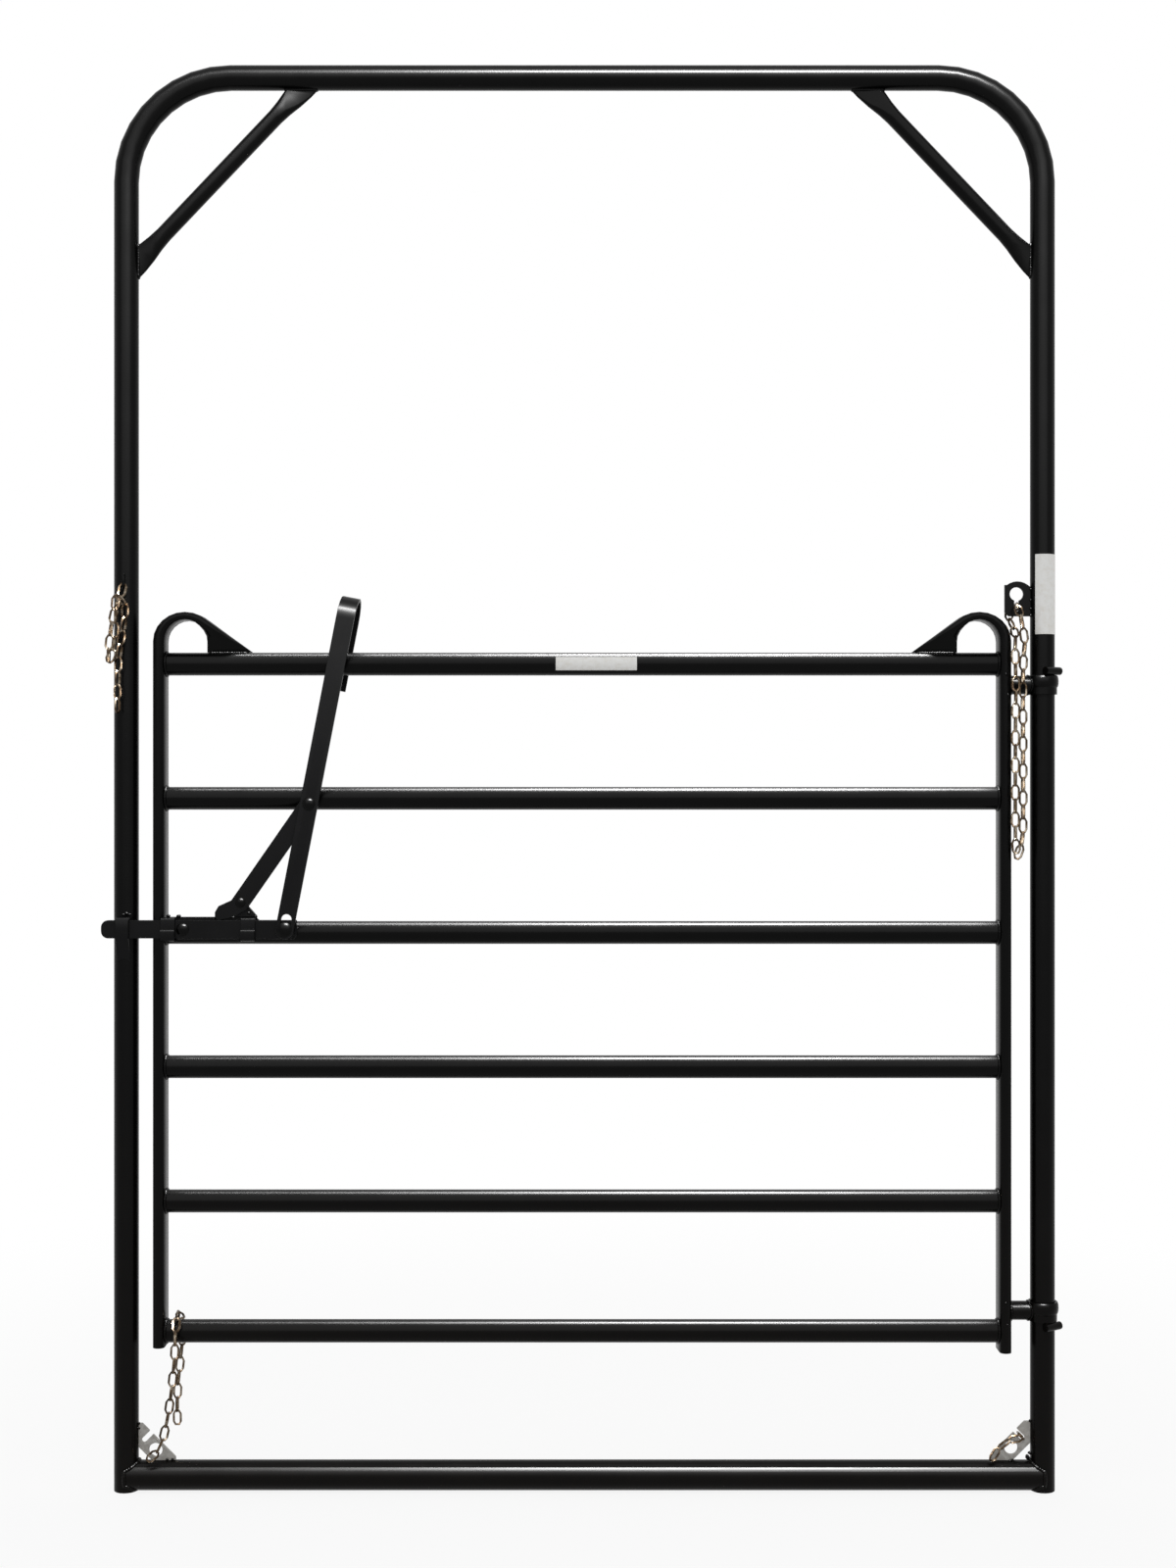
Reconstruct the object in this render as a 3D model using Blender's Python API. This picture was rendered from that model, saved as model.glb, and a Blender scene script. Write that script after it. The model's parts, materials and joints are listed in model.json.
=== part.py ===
"""Bow gate for a livestock yard: a walk-through arch with a six-rail gate, lever latch and chains.

Metres, +Z up, origin on the ground midway between the posts. The viewer stands at -Y.
The gate is hung on the +X post and latches on the -X post.
"""

import math

import bmesh
import bpy
from mathutils import Matrix, Vector

GAP = 0.0003  # clearance between pieces that touch

# Arch of one bent tube
FRAME_WIDTH = 1.829
FRAME_HEIGHT = 2.769
POST_OD = 0.0476
POST_WALL = 0.0021
BEND_RADIUS = 0.203
BEND_STEPS = 9

# Bottom cross tube
SILL_OD = 0.057
SILL_WALL = 0.0021

# Corner braces with flattened ends
BRACE_OD = 0.0318
BRACE_WALL = 0.0016
BRACE_DROP = 0.381
BRACE_REACH = 0.362
BRACE_END_WIDTH = 0.048
BRACE_END_THICK = 0.0065
BRACE_TAPER = 0.075

# Gate rails
RAIL_OD = 0.04445
RAIL_WALL = 0.0017
RAIL_COUNT = 6
TOP_RAIL_Z = 1.6052
RAIL_PITCH = 0.261
LAST_PITCH = 0.2526

# Gate stiles: flat-oval tube that loops over onto the top rail
STILE_THICK = 0.023
STILE_DEPTH = 0.057
STILE_WALL = 0.0017
LATCH_SIDE_GAP = 0.0313
HINGE_SIDE_GAP = 0.0402
LATCH_STILE_TAIL = 0.0276
HINGE_STILE_TAIL = 0.0376
LOOP_SPRING = 0.0435  # straight stile above the top rail's axis
LOOP_SPAN = 0.079
LOOP_RISE = 0.0415
LOOP_BAND = 0.0150
LOOP_FOOT_WIDTH = 0.089
LOOP_FOOT_THICK = 0.0050
LOOP_STEP_DEG = 15
LOOP_FAN_DEG = 135

# Hinges: a sleeve round the post on a stub tube
HINGE_CLEARANCE = 0.0012
COLLAR_WALL = 0.0030
COLLAR_BEAD = 0.0030
COLLAR_HEIGHT = 0.0370
BEAD_HEIGHT = 0.0235
HINGE_ARM_OD = 0.0365
HINGE_ARM_WALL = 0.0032
UPPER_HINGE_DROP = 0.0409  # below the top rail's axis
LOWER_HINGE_RISE = 0.0399  # above the bottom rail's axis
STOP_LENGTH = 0.040
STOP_OD = 0.0155
STOP_TURN_DEG = 55

# Flat bar stock of the latch, 35 mm wide
BAR_WIDTH = 0.0350
BOLT_THICK = 0.0080
STRAP_THICK = 0.0060
BOLT_RISE = 0.0085  # above the third rail's axis
BOLT_FRONT_GAP = 0.0053  # between the post's front and the bolt
BOLT_NOSE_RADIUS = 0.0136
BOLT_OVERHANG = 0.0174  # past the post's far side
BOLT_HEEL = 0.0175

# Latch lever, hung on a fulcrum beside the second rail and folded over the top rail
FULCRUM_IN = 0.2938  # from the latch stile's axis, as are the next sizes that end in IN
FULCRUM_DROP = 0.0104  # below the second rail's axis
LEVER_LEAN_DEG = 11.0
LEVER_TOP_RISE = 0.1296  # above the top rail's axis
LEVER_HOOK_LENGTH = 0.182
LEVER_END_RADIUS = 0.0185
SLOT_RADIUS = 0.0100
SLOT_RISE = 0.0200
PIN_RADIUS = 0.0063
HEAD_RADIUS = 0.0125
DRIVE_HEAD_RADIUS = 0.0145
HEAD_HEIGHT = 0.0055
NUT_FLATS = 0.0190
NUT_HEIGHT = 0.0045

# Strap that carries the fulcrum, riveted to an ear on the backing plate
EAR_PIN_IN = 0.1612
EAR_PIN_RISE = 0.0520  # above the bolt's axis
RIVET_RADIUS = 0.0048
RIVET_HEAD_RADIUS = 0.0098
RIVET_HEAD_HEIGHT = 0.0045
FOOT_REACH = 0.0495
FOOT_DROP = 0.0343
EAR_RADIUS = 0.0140
EAR_BASE = 0.0270

# Backing plate and the two guides the bolt slides in
BACK_THICK = 0.0040
BACK_RIGHT_IN = 0.2681
BACK_TOP = 0.0235  # above the bolt's axis
BACK_BOTTOM = 0.0200
GUIDE_THICK = 0.0040
GUIDE_WIDTH = 0.0265
LEFT_GUIDE_IN = 0.0216
RIGHT_GUIDE_IN = 0.1761
GUIDE_CLEARANCE = 0.0010
GUIDE_STEP = 0.0055
STOP_PIN_IN = 0.0496

# Keeper strap on the latch post
KEEPER_WIDTH = 0.0250
KEEPER_THICK = 0.0045
KEEPER_CLEARANCE = 0.0016
KEEPER_RAMP = 0.0480

# Chain plates
KEYHOLE_WIDTH = 0.0500
KEYHOLE_HEIGHT = 0.0610
KEYHOLE_ARCH = 0.0070
KEYHOLE_CHAMFER = 0.0080
KEYHOLE_TOP_Z = 1.7590
KEYHOLE_THICK = 0.0060
KEYHOLE_RADIUS = 0.0133
KEYHOLE_SLOT = 0.0090
KEYHOLE_SLOT_DROP = 0.0340
KEYHOLE_DROP = 0.0247
CORNER_PLATE_LENGTH = 0.1040
CORNER_PLATE_WIDTH = 0.0380
CORNER_PLATE_THICK = 0.0050
LATCH_CORNER_OFFSET = 0.0185  # from the inner corner to the strip's inner edge
HINGE_CORNER_OFFSET = 0.0245
CORNER_PLATE_CLIP = 0.0060
CORNER_HOLE_RADIUS = 0.0130
CORNER_HOLE_SHIFT = 0.0088
CORNER_SLOT_WIDTH = 0.0094
CORNER_SLOT_DEPTH = 0.0250
CORNER_SLOT_SHIFT = 0.0205

# Chain
LINK_LENGTH = 0.0328
LINK_WIDTH = 0.0178
LINK_WIRE = 0.0044
LINK_BITE = 0.0066  # how much one link's ends lie inside its neighbours
HANGING_DROP = 0.505
STRAND_SHIFT = 0.0070  # the hooked strand hangs this far beyond the slot
STRAND_PITCH = 0.0160  # from one hanging strand to the other
STRAND_STEP = 0.0065  # how far the fixed strand hangs in front of the hooked one
EYE_HEIGHT = 0.0260
EYE_WIDTH = 0.0130
EYE_WIRE = 0.0050
EYE_Z = 1.7640

# Derived places
POST_RADIUS = POST_OD / 2
POST_X = FRAME_WIDTH / 2 - POST_RADIUS
TOP_Z = FRAME_HEIGHT - POST_RADIUS
SILL_RADIUS = SILL_OD / 2
SILL_Z = SILL_RADIUS
RAIL_RADIUS = RAIL_OD / 2
LATCH_STILE_X = -POST_X + POST_RADIUS + LATCH_SIDE_GAP + STILE_THICK / 2
HINGE_STILE_X = POST_X - POST_RADIUS - HINGE_SIDE_GAP - STILE_THICK / 2
RAIL_ZS = [TOP_RAIL_Z - RAIL_PITCH * i for i in range(RAIL_COUNT - 1)]
RAIL_ZS.append(RAIL_ZS[-1] - LAST_PITCH)
BOLT_Z = RAIL_ZS[2] + BOLT_RISE
FULCRUM_X = LATCH_STILE_X + FULCRUM_IN
FULCRUM_Z = RAIL_ZS[1] - FULCRUM_DROP
LEVER_TOP_Z = TOP_RAIL_Z + LEVER_TOP_RISE
EAR_PIN_X = LATCH_STILE_X + EAR_PIN_IN
EAR_PIN_Z = BOLT_Z + EAR_PIN_RISE
BACK_RIGHT = LATCH_STILE_X + BACK_RIGHT_IN
LEFT_GUIDE_X = LATCH_STILE_X + LEFT_GUIDE_IN
RIGHT_GUIDE_X = LATCH_STILE_X + RIGHT_GUIDE_IN
STOP_PIN_X = LATCH_STILE_X + STOP_PIN_IN
UPPER_HINGE_Z = TOP_RAIL_Z - UPPER_HINGE_DROP
LOWER_HINGE_Z = RAIL_ZS[-1] + LOWER_HINGE_RISE
COLLAR_BORE = POST_RADIUS + HINGE_CLEARANCE
BOLT_BACK_Y = -(POST_RADIUS + BOLT_FRONT_GAP)
BOLT_FRONT_Y = BOLT_BACK_Y - BOLT_THICK
LEVER_BACK_Y = BOLT_FRONT_Y - GAP * 2
LEVER_FRONT_Y = LEVER_BACK_Y - STRAP_THICK
LINK_FRONT_Y = LEVER_BACK_Y + GAP
LINK_BACK_Y = LINK_FRONT_Y + STRAP_THICK
BACK_FRONT_Y = -(RAIL_RADIUS + GAP + BACK_THICK)
BACK_LEFT = LATCH_STILE_X + STILE_THICK / 2 + GAP
EAR_BACK_Y = BACK_FRONT_Y + BACK_THICK
LEVER_LEAN = math.radians(LEVER_LEAN_DEG)
PIN_DROP = FULCRUM_Z - BOLT_Z
PIN_X = FULCRUM_X - PIN_DROP * math.tan(LEVER_LEAN)
BOLT_TIP_X = -POST_X - POST_RADIUS - BOLT_OVERHANG
LINK_PITCH = LINK_LENGTH - LINK_BITE

TUBE_SIDES = 20
ROUND_SIDES = 20
LINK_SIDES = 5
LINK_END_STEPS = 3


def clear_scene():
    """Empties the scene so that the part starts from nothing."""
    for obj in list(bpy.data.objects):
        bpy.data.objects.remove(obj)


def make_material(name, rgb, roughness, metallic):
    """A Principled material of one colour."""
    material = bpy.data.materials.new(name)
    material.use_nodes = True
    shader = material.node_tree.nodes["Principled BSDF"]
    shader.inputs["Base Color"].default_value = (*rgb, 1.0)
    shader.inputs["Roughness"].default_value = roughness
    shader.inputs["Metallic"].default_value = metallic
    material.diffuse_color = (*rgb, 1.0)
    return material


def add_object(name, bm, finish=None, origin=(0, 0, 0), parent=None):
    """Turns a bmesh in world places into an object with its origin where asked."""
    origin = Vector(origin)
    bmesh.ops.recalc_face_normals(bm, faces=bm.faces)
    bmesh.ops.translate(bm, verts=bm.verts, vec=-origin)
    mesh = bpy.data.meshes.new(name)
    bm.to_mesh(mesh)
    bm.free()
    mesh.shade_smooth()
    mesh.set_sharp_from_angle(angle=math.radians(35))
    obj = bpy.data.objects.new(name, mesh)
    bpy.context.scene.collection.objects.link(obj)
    if finish:
        mesh.materials.append(FINISHES[finish].copy())
        mesh.materials[0].name = f"{name}_{finish}"
    if parent:
        obj.parent = parent
        obj.location = origin - parent.location
    else:
        obj.location = origin
    return obj


def add_helper(name, bm):
    """A cutter or joined shape that isn't a piece by itself."""
    obj = add_object(name, bm)
    obj.hide_render = True
    obj.display_type = "WIRE"
    return obj


def boolean(obj, other, operation="DIFFERENCE"):
    """Adds an exact Boolean with another object."""
    modifier = obj.modifiers.new(f"{operation.lower()}_{other.name}", "BOOLEAN")
    modifier.operation = operation
    modifier.solver = "EXACT"
    modifier.object = other


def add_empty(name, place):
    """A parent on a joint's axis."""
    empty = bpy.data.objects.new(name, None)
    empty.location = place
    bpy.context.scene.collection.objects.link(empty)
    return empty


def oval_ring(centre, across, deep, half_across, half_deep, sides):
    """Points of a flat oval: a circle of the lesser half width, pulled apart along the greater."""
    radius = min(half_across, half_deep)
    points = []
    for i in range(sides):
        angle = 2 * math.pi * (i + 0.5) / sides
        c, s = math.cos(angle), math.sin(angle)
        u = radius * c + math.copysign(half_across - radius, c)
        v = radius * s + math.copysign(half_deep - radius, s)
        points.append(centre + across * u + deep * v)
    return points


def round_ring(centre, across, deep, radius, sides):
    """Points of a circle, the first of them straight across."""
    turns = [2 * math.pi * i / sides for i in range(sides)]
    return [centre + (across * math.cos(a) + deep * math.sin(a)) * radius for a in turns]


def skin(bm, rings, closed=False):
    """Joins rings of equal count with quads and returns the rings' vertices."""
    made = [[bm.verts.new(p) for p in ring] for ring in rings]
    count = len(made[0])
    pairs = list(zip(made, made[1:]))
    if closed:
        pairs.append((made[-1], made[0]))
    for low, high in pairs:
        for i in range(count):
            j = (i + 1) % count
            bm.faces.new((low[i], low[j], high[j], high[i]))
    return made


def solid_loft(rings):
    """A closed solid through rings, with flat ends."""
    bm = bmesh.new()
    made = skin(bm, rings)
    bm.faces.new(made[0])
    bm.faces.new(made[-1])
    return bm


def hollow_loft(outer, inner):
    """A tube open at both ends, between an outer and an inner run of rings."""
    bm = bmesh.new()
    outside = skin(bm, outer)
    inside = skin(bm, inner)
    for a, b in ((outside[0], inside[0]), (outside[-1], inside[-1])):
        for i in range(len(a)):
            j = (i + 1) % len(a)
            bm.faces.new((a[i], a[j], b[j], b[i]))
    return bm


def prism(outline, y_front, y_back):
    """A flat plate: an outline of (x, z) points carried from one Y to another."""
    bm = bmesh.new()
    front = [bm.verts.new((x, y_front, z)) for x, z in outline]
    back = [bm.verts.new((x, y_back, z)) for x, z in outline]
    bm.faces.new(front)
    bm.faces.new(back)
    for i in range(len(outline)):
        j = (i + 1) % len(outline)
        bm.faces.new((front[i], front[j], back[j], back[i]))
    return bm


def side_prism(outline, x_low, x_high):
    """A formed strap: an outline of (y, z) points carried from one X to another."""
    bm = bmesh.new()
    low = [bm.verts.new((x_low, y, z)) for y, z in outline]
    high = [bm.verts.new((x_high, y, z)) for y, z in outline]
    bm.faces.new(low)
    bm.faces.new(high)
    for i in range(len(outline)):
        j = (i + 1) % len(outline)
        bm.faces.new((low[i], low[j], high[j], high[i]))
    return bm


def cylinder(start, end, radius, sides=ROUND_SIDES):
    """A plain round bar between two points."""
    start, end = Vector(start), Vector(end)
    along = (end - start).normalized()
    across = along.orthogonal().normalized()
    deep = along.cross(across)
    return solid_loft([round_ring(p, across, deep, radius, sides) for p in (start, end)])


def arc(cx, cz, radius, start_deg, end_deg, steps):
    """Points on an arc in the XZ plane."""
    turn = math.radians(end_deg - start_deg) / steps
    start = math.radians(start_deg)
    return [
        (cx + radius * math.cos(start + turn * i), cz + radius * math.sin(start + turn * i))
        for i in range(steps + 1)
    ]


def turned(profile, centre, axis, sides=ROUND_SIDES):
    """A turned solid: (radius, height) points, first and last on the axis, spun about an axis."""
    axis = Vector(axis)
    across = axis.orthogonal().normalized()
    deep = axis.cross(across)
    centre = Vector(centre)
    bm = bmesh.new()
    rings = [round_ring(centre + axis * h, across, deep, r, sides) for r, h in profile[1:-1]]
    made = skin(bm, rings)
    for ring, (_, height) in ((made[0], profile[0]), (made[-1], profile[-1])):
        tip = bm.verts.new(centre + axis * height)
        for i in range(sides):
            bm.faces.new((ring[i], ring[(i + 1) % sides], tip))
    return bm


def bow_path(foot):
    """Centre line of the arch from foot to foot, with the way each section faces."""
    points = [(Vector((-POST_X, 0, foot)), Vector((1, 0, 0)))]
    for side, start in ((-1, 180), (1, 90)):
        cx = side * (POST_X - BEND_RADIUS)
        cz = TOP_Z - BEND_RADIUS
        for i in range(BEND_STEPS + 1):
            angle = math.radians(start - 90 * i / BEND_STEPS)
            out = Vector((math.cos(angle), 0, math.sin(angle)))
            points.append((Vector((cx, 0, cz)) + out * BEND_RADIUS, -out))
    points.append((Vector((POST_X, 0, foot)), Vector((-1, 0, 0))))
    return points


def bow_rings(radius, foot=0.0):
    """Round sections along the arch."""
    deep = Vector((0, 1, 0))
    return [round_ring(p, inward, deep, radius, TUBE_SIDES) for p, inward in bow_path(foot)]


def build_bow():
    """The arch and a fatter copy that trims whatever is welded to it."""
    bow = hollow_loft(bow_rings(POST_RADIUS), bow_rings(POST_RADIUS - POST_WALL))
    add_object("bow_tube", bow, "coat")
    return add_helper("bow_cutter", solid_loft(bow_rings(POST_RADIUS + GAP, -0.05)))


def sill_rings(radius):
    """The cross tube's two end sections, each side touching the circle so that one lies flat."""
    deep, up = Vector((0, 1, 0)), Vector((0, 0, 1))
    reach = radius / math.cos(math.pi / TUBE_SIDES)
    ends = [Vector((side * POST_X, 0, SILL_Z)) for side in (-1, 1)]
    return [oval_ring(p, deep, up, reach, reach, TUBE_SIDES) for p in ends]


def build_sill(bow_cutter):
    """The cross tube on the ground, coped to the posts, and a fatter copy that trims plates."""
    tube = hollow_loft(sill_rings(SILL_RADIUS), sill_rings(SILL_RADIUS - SILL_WALL))
    boolean(add_object("sill_tube", tube, "coat"), bow_cutter)
    return add_helper("sill_cutter", solid_loft(sill_rings(SILL_RADIUS + GAP)))


def build_brace(name, side, bow_cutter):
    """A corner brace: round tube pressed flat towards both ends and trimmed to the arch."""
    low = Vector((side * POST_X, 0, TOP_Z - BRACE_DROP))
    high = Vector((side * (POST_X - BRACE_REACH), 0, TOP_Z))
    along = (high - low).normalized()
    across = along.cross(Vector((0, 1, 0)))
    deep = Vector((0, 1, 0))
    length = (high - low).length
    seat = POST_RADIUS * 1.25
    stations = [0.0, seat, seat + BRACE_TAPER * 0.35, seat + BRACE_TAPER * 0.7, seat + BRACE_TAPER]
    stations += [length - s for s in reversed(stations)]
    outer, inner = [], []
    for s in stations:
        from_end = min(s, length - s)
        share = min(max((from_end - seat) / BRACE_TAPER, 0.0), 1.0)
        ease = share * share * (3 - 2 * share)
        wide = BRACE_END_WIDTH + (BRACE_OD - BRACE_END_WIDTH) * ease
        thick = BRACE_END_THICK + (BRACE_OD - BRACE_END_THICK) * ease
        centre = low + along * s
        outer.append(oval_ring(centre, across, deep, wide / 2, thick / 2, 16))
        inner.append(
            oval_ring(centre, across, deep, wide / 2 - BRACE_WALL, thick / 2 - BRACE_WALL, 16)
        )
    brace = add_object(name, hollow_loft(outer, inner), "coat")
    boolean(brace, bow_cutter)


def build_rails(parent):
    """Six round rails between the stiles."""
    deep, up = Vector((0, 1, 0)), Vector((0, 0, 1))
    low = LATCH_STILE_X + STILE_THICK / 2 + GAP
    high = HINGE_STILE_X - STILE_THICK / 2 - GAP
    for number, z in enumerate(RAIL_ZS, 1):
        ends = [Vector((x, 0, z)) for x in (low, high)]
        outer = [round_ring(p, deep, up, RAIL_RADIUS, TUBE_SIDES) for p in ends]
        inner = [round_ring(p, deep, up, RAIL_RADIUS - RAIL_WALL, TUBE_SIDES) for p in ends]
        add_object(f"gate_rail_{number}", hollow_loft(outer, inner), "coat", parent=parent)


def stile_sections(x, inward, tail):
    """Inner edge, outer edge and depth of each section of a stile and its loop, from the bottom up."""
    face = x + inward * STILE_THICK / 2
    back = x - inward * STILE_THICK / 2
    hole_x = face + inward * LOOP_SPAN / 2
    spring_z = TOP_RAIL_Z + LOOP_SPRING
    seat_z = TOP_RAIL_Z + RAIL_RADIUS + GAP
    bottom = RAIL_ZS[-1] - tail
    sections = [((face, bottom), (back, bottom), STILE_DEPTH)]
    fan_count = (180 - LOOP_FAN_DEG) // LOOP_STEP_DEG
    foot_out = (hole_x + inward * (LOOP_SPAN / 2 + LOOP_FOOT_WIDTH), seat_z)
    fan_start = None
    for degrees in range(0, 181, LOOP_STEP_DEG):
        angle = math.radians(degrees)
        inner = (
            hole_x - inward * LOOP_SPAN / 2 * math.cos(angle),
            spring_z + LOOP_RISE * math.sin(angle),
        )
        if degrees <= LOOP_FAN_DEG:
            outer = (
                hole_x - inward * (LOOP_SPAN / 2 + STILE_THICK) * math.cos(angle),
                spring_z + (LOOP_RISE + LOOP_BAND) * math.sin(angle),
            )
            fan_start = outer
        else:
            share = (degrees - LOOP_FAN_DEG) / LOOP_STEP_DEG / (fan_count + 1)
            outer = tuple(a + (b - a) * share for a, b in zip(fan_start, foot_out))
        wide = math.dist(inner, outer)
        depth = STILE_DEPTH + STILE_THICK - max(wide, STILE_THICK)
        sections.append((inner, outer, max(depth, LOOP_FOOT_THICK)))
    foot_in = (hole_x + inward * LOOP_SPAN / 2, seat_z)
    sections.append((foot_in, foot_out, LOOP_FOOT_THICK))
    return sections


def build_stile(name, x, inward, tail, parent):
    """A stile with its loop pressed flat onto the top rail."""
    deep = Vector((0, 1, 0))
    outer, inner = [], []
    for near, far, depth in stile_sections(x, inward, tail):
        near, far = Vector((near[0], 0, near[1])), Vector((far[0], 0, far[1]))
        across = (far - near).normalized()
        centre = (near + far) / 2
        wide = (far - near).length
        outer.append(oval_ring(centre, across, deep, wide / 2, depth / 2, 16))
        inner.append(
            oval_ring(centre, across, deep, wide / 2 - STILE_WALL, depth / 2 - STILE_WALL, 16)
        )
    add_object(name, hollow_loft(outer, inner), "coat", parent=parent)


def build_hinge(name, z, parent):
    """A beaded sleeve that turns on the post, on a stub tube from the stile."""
    up = Vector((0, 0, 1))
    wall = COLLAR_BORE + COLLAR_WALL
    half = COLLAR_HEIGHT / 2
    bead_mid = half - BEAD_HEIGHT / 2
    profile = [(0, -half), (wall, -half), (wall, bead_mid - BEAD_HEIGHT / 2)]
    for i in range(1, 6):
        angle = math.pi * i / 6
        bulge = COLLAR_BEAD * math.sin(angle)
        profile.append((wall + bulge, bead_mid - BEAD_HEIGHT / 2 * math.cos(angle)))
    profile += [(wall, half), (0, half)]
    centre = Vector((POST_X, 0, z))
    collar = add_object(name, turned(profile, centre, up, 24), "coat", origin=centre, parent=parent)
    start = Vector((HINGE_STILE_X + STILE_THICK / 2 + GAP, 0, z))
    inset = Vector((0.01, 0, 0))
    bore_end = centre - Vector((COLLAR_BORE + COLLAR_WALL + HINGE_ARM_WALL, 0, 0))
    arm = cylinder(start, centre - inset, HINGE_ARM_OD / 2)
    arm_bore = cylinder(start - inset, bore_end, HINGE_ARM_OD / 2 - HINGE_ARM_WALL, 12)
    eye = cylinder(centre - up * 0.05, centre + up * 0.05, COLLAR_BORE, 24)
    boolean(collar, add_helper(f"{name}_arm", arm), "UNION")
    boolean(collar, add_helper(f"{name}_arm_bore", arm_bore))
    boolean(collar, add_helper(f"{name}_eye", eye))


def build_stop(name, z, bow_cutter):
    """A short round bar welded across the post that keeps a hinge sleeve in its place."""
    turn = math.radians(-STOP_TURN_DEG)
    out = Vector((math.cos(turn), math.sin(turn), 0))
    along = Vector((-out.y, out.x, 0))
    middle = Vector((POST_X, 0, z)) + out * (POST_RADIUS + STOP_OD * 0.15)
    half = STOP_LENGTH / 2
    bar = cylinder(middle - along * half, middle + along * half, STOP_OD / 2, 12)
    boolean(add_object(name, bar, "coat"), bow_cutter)


def build_keeper(bow_cutter):
    """The strap on the latch post that the bolt's nose runs behind."""
    inner = BOLT_FRONT_Y - KEEPER_CLEARANCE
    outer = inner - KEEPER_THICK
    post = -POST_RADIUS + 0.006
    top = BOLT_Z + BAR_WIDTH / 2 + KEEPER_CLEARANCE
    low = BOLT_Z - BAR_WIDTH / 2 - KEEPER_CLEARANCE
    ramp = low - KEEPER_RAMP
    round_off = KEEPER_THICK * 1.1
    outline = [
        (post, top + KEEPER_THICK),
        (outer + round_off, top + KEEPER_THICK),
        (outer + round_off * 0.3, top + KEEPER_THICK - round_off * 0.3),
        (outer, top + KEEPER_THICK - round_off),
        (outer, low),
        (post, ramp - KEEPER_THICK),
        (post, ramp + KEEPER_THICK),
        (inner, low + KEEPER_THICK / 2),
        (inner, top),
        (post, top),
    ]
    half = KEEPER_WIDTH / 2
    keeper = add_object("latch_keeper", side_prism(outline, -POST_X - half, -POST_X + half), "coat")
    boolean(keeper, bow_cutter)


def build_guide(name, x, parent):
    """A strap pressed over the bolt, with a step across its face."""
    root = BACK_FRONT_Y - GAP
    inner = BOLT_FRONT_Y - GUIDE_CLEARANCE
    outer = inner - GUIDE_THICK
    proud = outer - GUIDE_STEP
    top = BOLT_Z + BAR_WIDTH / 2 + GUIDE_CLEARANCE
    low = BOLT_Z - BAR_WIDTH / 2 - GUIDE_CLEARANCE
    t = GUIDE_THICK
    foot = low - t
    brow = [
        (outer + t * (1 - math.sin(a)), top + t * math.cos(a))
        for a in (math.pi / 8 * i for i in range(5))
    ]
    hump = [
        (outer - GUIDE_STEP * math.sin(a), BOLT_Z + GUIDE_STEP * (math.cos(a) - 0.8))
        for a in (math.pi / 10 * i for i in range(6))
    ]
    outline = [(root, top + t)] + brow + hump + [
        (proud, low),
        (proud + t * 0.3, foot + t * 0.3),
        (proud + t, foot),
        (root, foot),
        (root, low),
        (inner - GUIDE_STEP * 0.4, low),
        (inner, BOLT_Z - GUIDE_STEP * 2),
        (inner, top),
        (root, top),
    ]
    half = GUIDE_WIDTH / 2
    add_object(name, side_prism(outline, x - half, x + half), "coat", parent=parent)


def build_back_plate(parent):
    """The plate on the third rail's front that the guides stand on."""
    top = BOLT_Z + BACK_TOP
    low = BOLT_Z - BACK_BOTTOM
    clip = 0.006
    heel_top = BOLT_Z + BAR_WIDTH / 2
    step_x = RIGHT_GUIDE_X + GUIDE_WIDTH / 2 + clip
    outline = [
        (BACK_LEFT + clip, low),
        (BACK_RIGHT - clip, low),
        (BACK_RIGHT, low + clip),
        (BACK_RIGHT, heel_top),
        (step_x, heel_top),
        (step_x - clip, top),
        (BACK_LEFT + clip, top),
        (BACK_LEFT, top - clip),
        (BACK_LEFT, low + clip),
    ]
    bm = prism(outline, BACK_FRONT_Y, BACK_FRONT_Y + BACK_THICK)
    add_object("latch_back_plate", bm, "coat", parent=parent)


def build_ear(parent):
    """The ear that stands on the backing plate and carries the strap's rivet."""
    base = BOLT_Z + BACK_TOP + GAP
    outline = [(EAR_PIN_X - EAR_RADIUS, base), (EAR_PIN_X + EAR_BASE, base)]
    outline.append((EAR_PIN_X + EAR_BASE, base + 0.006))
    outline += arc(EAR_PIN_X, EAR_PIN_Z - 0.002, EAR_RADIUS, -20, 180, 8)
    ear = add_object("latch_ear", prism(outline, LINK_BACK_Y + GAP, EAR_BACK_Y), "coat", parent=parent)
    hole = cylinder(
        (EAR_PIN_X, -0.1, EAR_PIN_Z), (EAR_PIN_X, 0, EAR_PIN_Z), RIVET_RADIUS + GAP, 12
    )
    boolean(ear, add_helper("ear_hole", hole))


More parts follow.
